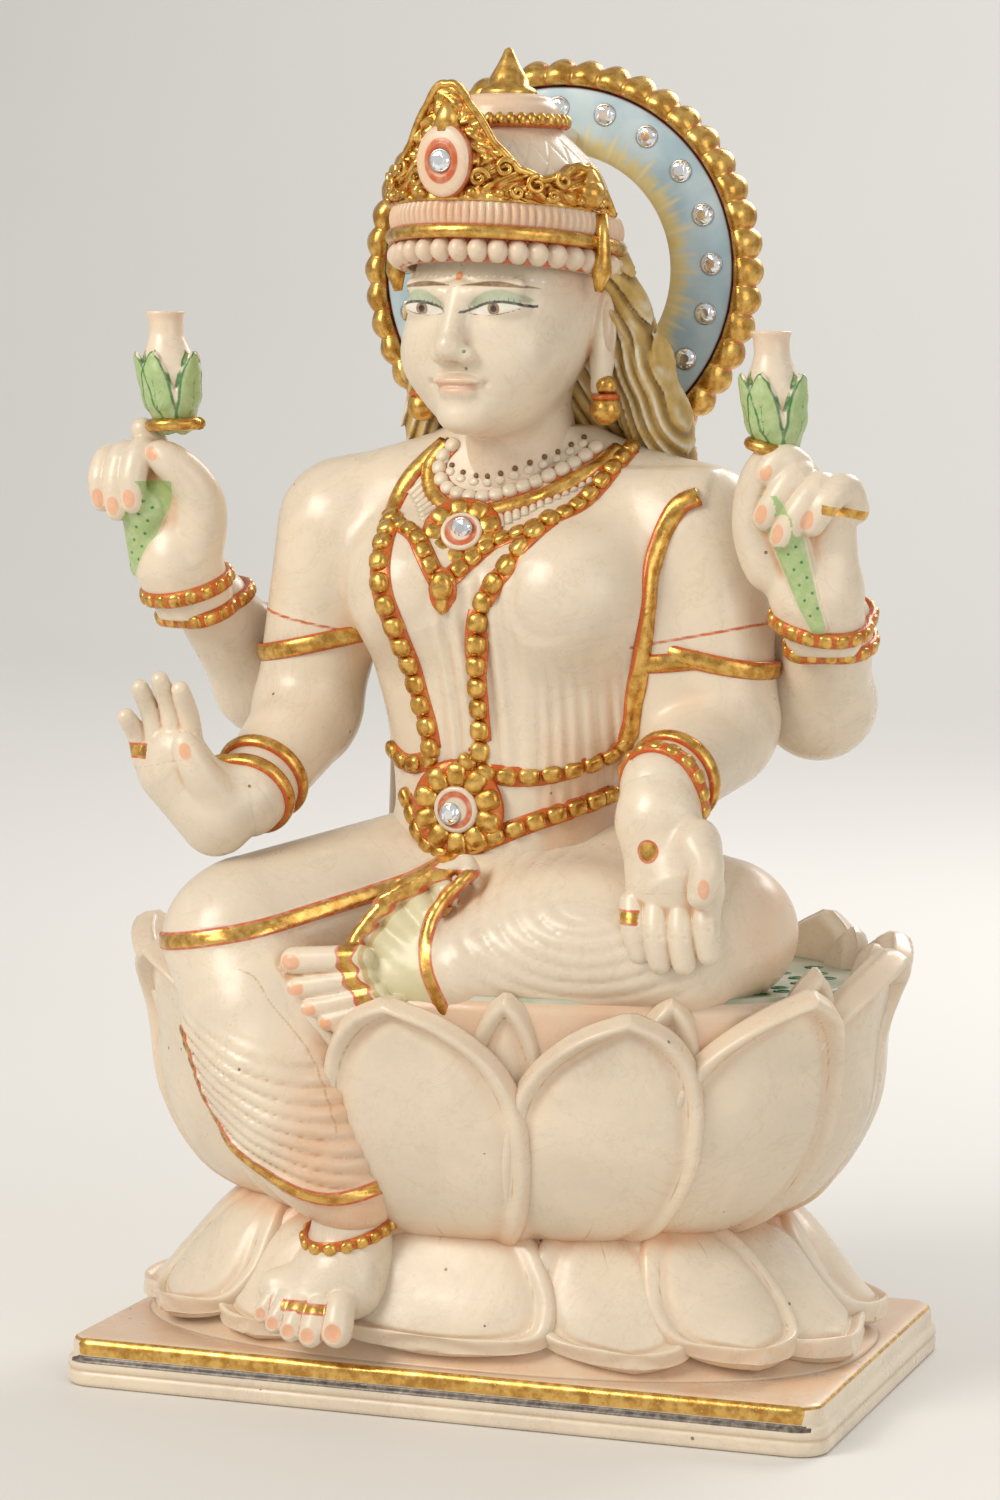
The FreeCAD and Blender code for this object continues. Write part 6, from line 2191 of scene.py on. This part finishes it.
def make_bangles():
    skin = Skin(
        "torso_and_arms", "rear_arm_left_carved", "rear_arm_right_carved", "hand_right_raised",
        "hand_left_lowered", "rear_hand_left_carved", "rear_hand_right_carved"
    )
    trim = Trim()

    def band(centre, axis, half, thick, limit=17.0, beads=0.0, edge=0.6):
        points, out = skin.cuff(centre, axis, limit)
        along = np.roll(points, -1, 0) - np.roll(points, 1, 0)
        along /= np.linalg.norm(along, axis=1)[:, None]
        trim.ribbon((points, along, out), half, thick, edge if not beads else 4.0, True, 0.3)
        if beads:
            length = np.concatenate(
                [[0], np.cumsum(np.linalg.norm(np.diff(np.vstack([points, points[:1]]), axis=0), axis=1))]
            )
            count = int(length[-1] / beads)
            at = np.arange(count) * length[-1] / count
            ring = np.stack(
                [np.interp(at, length, np.append(points[:, k], points[0, k])) for k in range(3)], -1
            )
            for p in ring:
                j = int(np.argmin(np.linalg.norm(points - p, axis=1)))
                trim.add(
                    pebble(
                        p + out[j] * 0.5, along[j], out[j], (beads * 0.5, half * 0.92, thick * 1.15), 0.75
                    )
                )

    right_arm, left_arm = np.array(RIGHT_WRIST) - (-63, -9, 187), np.array(LEFT_WRIST) - (63, -9, 187)
    band((-65.2, -33.5, 173.5), right_arm, 2.3, 1.6)
    band((-65.9, -41.0, 169.2), right_arm, 2.3, 1.6)
    band((58.0, -33.0, 178.7), left_arm, 2.3, 1.6)
    band((56.6, -39.5, 176.4), left_arm, 2.5, 1.5, beads=4.6)
    for side, low, high, axis in (
        (1, (92.6, -4.5, 215.0), (93.8, -9.5, 222.5), (6, -9, 26)),
        (-1, (-93.5, -6.5, 220.5), (-95.5, -10.5, 227.5), (-4, -9, 26))
    ):
        band(low, axis, 2.4, 1.5, beads=4.4)
        band(high, axis, 2.4, 1.5, beads=4.4)
    for side in (-1, 1):
        band((side * 60.5, -2.0, 210.5), (side * 0.22, -0.05, 1.0), 2.7, 1.3, 19.5, edge=0.8)
    trim.finish("bangles_gilt", "gilt", "gilt", ("bangles",))


def make_anklet():
    ankle = Trim()
    foot = Skin("foot_right_carved", "legs_draped")
    points, out = foot.cuff((-27.5, -57.5, 50.5), (-0.12, -0.30, 1.0), 16.0)
    along = np.roll(points, -1, 0) - np.roll(points, 1, 0)
    along /= np.linalg.norm(along, axis=1)[:, None]
    ankle.ribbon((points, along, out), 2.0, 0.8, 4.0, True, 0.2)
    for k in range(0, 72, 4):
        ankle.add(pebble(points[k] + out[k] * 0.4, along[k], out[k], (2.0, 1.9, 1.6), 0.9))
    ankle.finish("anklet_beads", "gilt", "gilt", ("anklet",))


# ---- floor, lights and camera ------------------------------------------------------------------------
LIGHTS = (  # name, place and aim in metres, size, power, tint
    ("key", (-0.75, -1.05, 1.05), (0, 0, 0.18), 0.70, 14.0, (1.0, 0.94, 0.85)),
    ("fill", (1.25, -0.85, 0.60), (0, 0, 0.18), 0.9, 4.5, (1.0, 0.97, 0.93)),
    ("wall", (0.0, 1.6, 2.4), (0.0, 3.8, 0.9), 2.5, 34.0, (1.0, 0.99, 0.97)),
    ("back", (0.35, 1.10, 1.00), (0, 0, 0.22), 0.6, 8.0, (1.0, 0.97, 0.93)),
)
CAMERA_PLACE, CAMERA_LENS, CAMERA_SENSOR = (0.3915, -1.1391, 0.3014), 100.8, 36.0
CAMERA_YAW, CAMERA_PITCH, CAMERA_ROLL = -0.335, -0.100, 0.010


def make_studio():
    s = Shader("floor")
    s.set(Base_Color=s.mix(s.noise(400.0, 2.0), (0.74, 0.725, 0.70), (0.77, 0.755, 0.73)), Roughness=0.6)
    s.set(Normal=s.relief(s.noise(3.0, 2.0), 0.1, 0.15))
    mesh = bpy.data.meshes.new("floor")
    profile = [(-6.0, 0.0), (2.2, 0.0)]
    sweep_up = np.linspace(0.1, np.pi / 2, 12)
    profile += [(2.2 + 1.6 * math.sin(a), 1.6 - 1.6 * math.cos(a)) for a in sweep_up] + [(3.8, 7.0)]
    points = [(x, y, z) for y, z in profile for x in (-8.0, 8.0)]
    faces = [(2 * i, 2 * i + 1, 2 * i + 3, 2 * i + 2) for i in range(len(profile) - 1)]
    mesh.from_pydata(points, [], faces)
    mesh.polygons.foreach_set("use_smooth", [True] * len(mesh.polygons))
    mesh.materials.append(materials["floor"])
    floor = bpy.data.objects.new("floor", mesh)
    bpy.context.scene.collection.objects.link(floor)
    world = bpy.data.worlds.new("studio")
    world.use_nodes = True
    world.node_tree.nodes["Background"].inputs["Color"].default_value = (0.90, 0.89, 0.87, 1)
    world.node_tree.nodes["Background"].inputs["Strength"].default_value = 0.62
    bpy.context.scene.world = world
    for name, place, aim, size, power, tint in LIGHTS:
        light = bpy.data.lights.new(name, "AREA")
        light.size, light.energy, light.color = size, power, tint
        lamp = bpy.data.objects.new(name, light)
        lamp.location = place
        lamp.rotation_euler = (Vector(aim) - Vector(place)).to_track_quat("-Z", "Y").to_euler()
        bpy.context.scene.collection.objects.link(lamp)
    bpy.context.scene.view_settings.view_transform = "Standard"


def make_camera():
    yaw, pitch, roll = CAMERA_YAW, CAMERA_PITCH, CAMERA_ROLL
    forward = Vector((math.sin(yaw) * math.cos(pitch), math.cos(yaw) * math.cos(pitch), math.sin(pitch)))
    right = Vector((math.cos(yaw), -math.sin(yaw), 0.0))
    up = right.cross(forward)
    level_right, level_up = right.copy(), up.copy()
    right = level_right * math.cos(roll) + level_up * math.sin(roll)
    up = level_up * math.cos(roll) - level_right * math.sin(roll)
    data = bpy.data.cameras.new("camera")
    data.sensor_fit, data.sensor_height, data.lens = "VERTICAL", CAMERA_SENSOR, CAMERA_LENS
    data.clip_start, data.clip_end = 0.01, 50.0
    camera = bpy.data.objects.new("camera", data)
    facing = Matrix((right, up, -forward)).transposed().to_4x4()
    camera.matrix_world = Matrix.Translation(CAMERA_PLACE) @ facing
    bpy.context.scene.collection.objects.link(camera)
    bpy.context.scene.camera = camera


def main():
    make_camera()
    make_studio()
    make_materials()
    make_plinth()
    make_lotus()
    make_legs()
    make_foot()
    make_torso()
    make_rear_arms()
    make_back()
    make_head()
    make_crown_bands()
    make_crown_scrolls()
    make_medallion()
    make_cap()
    make_hair()
    make_earrings()
    make_halo()
    make_front_hands()
    make_rear_hands()
    make_torso_trim()
    make_bangles()
    make_anklet()


main()
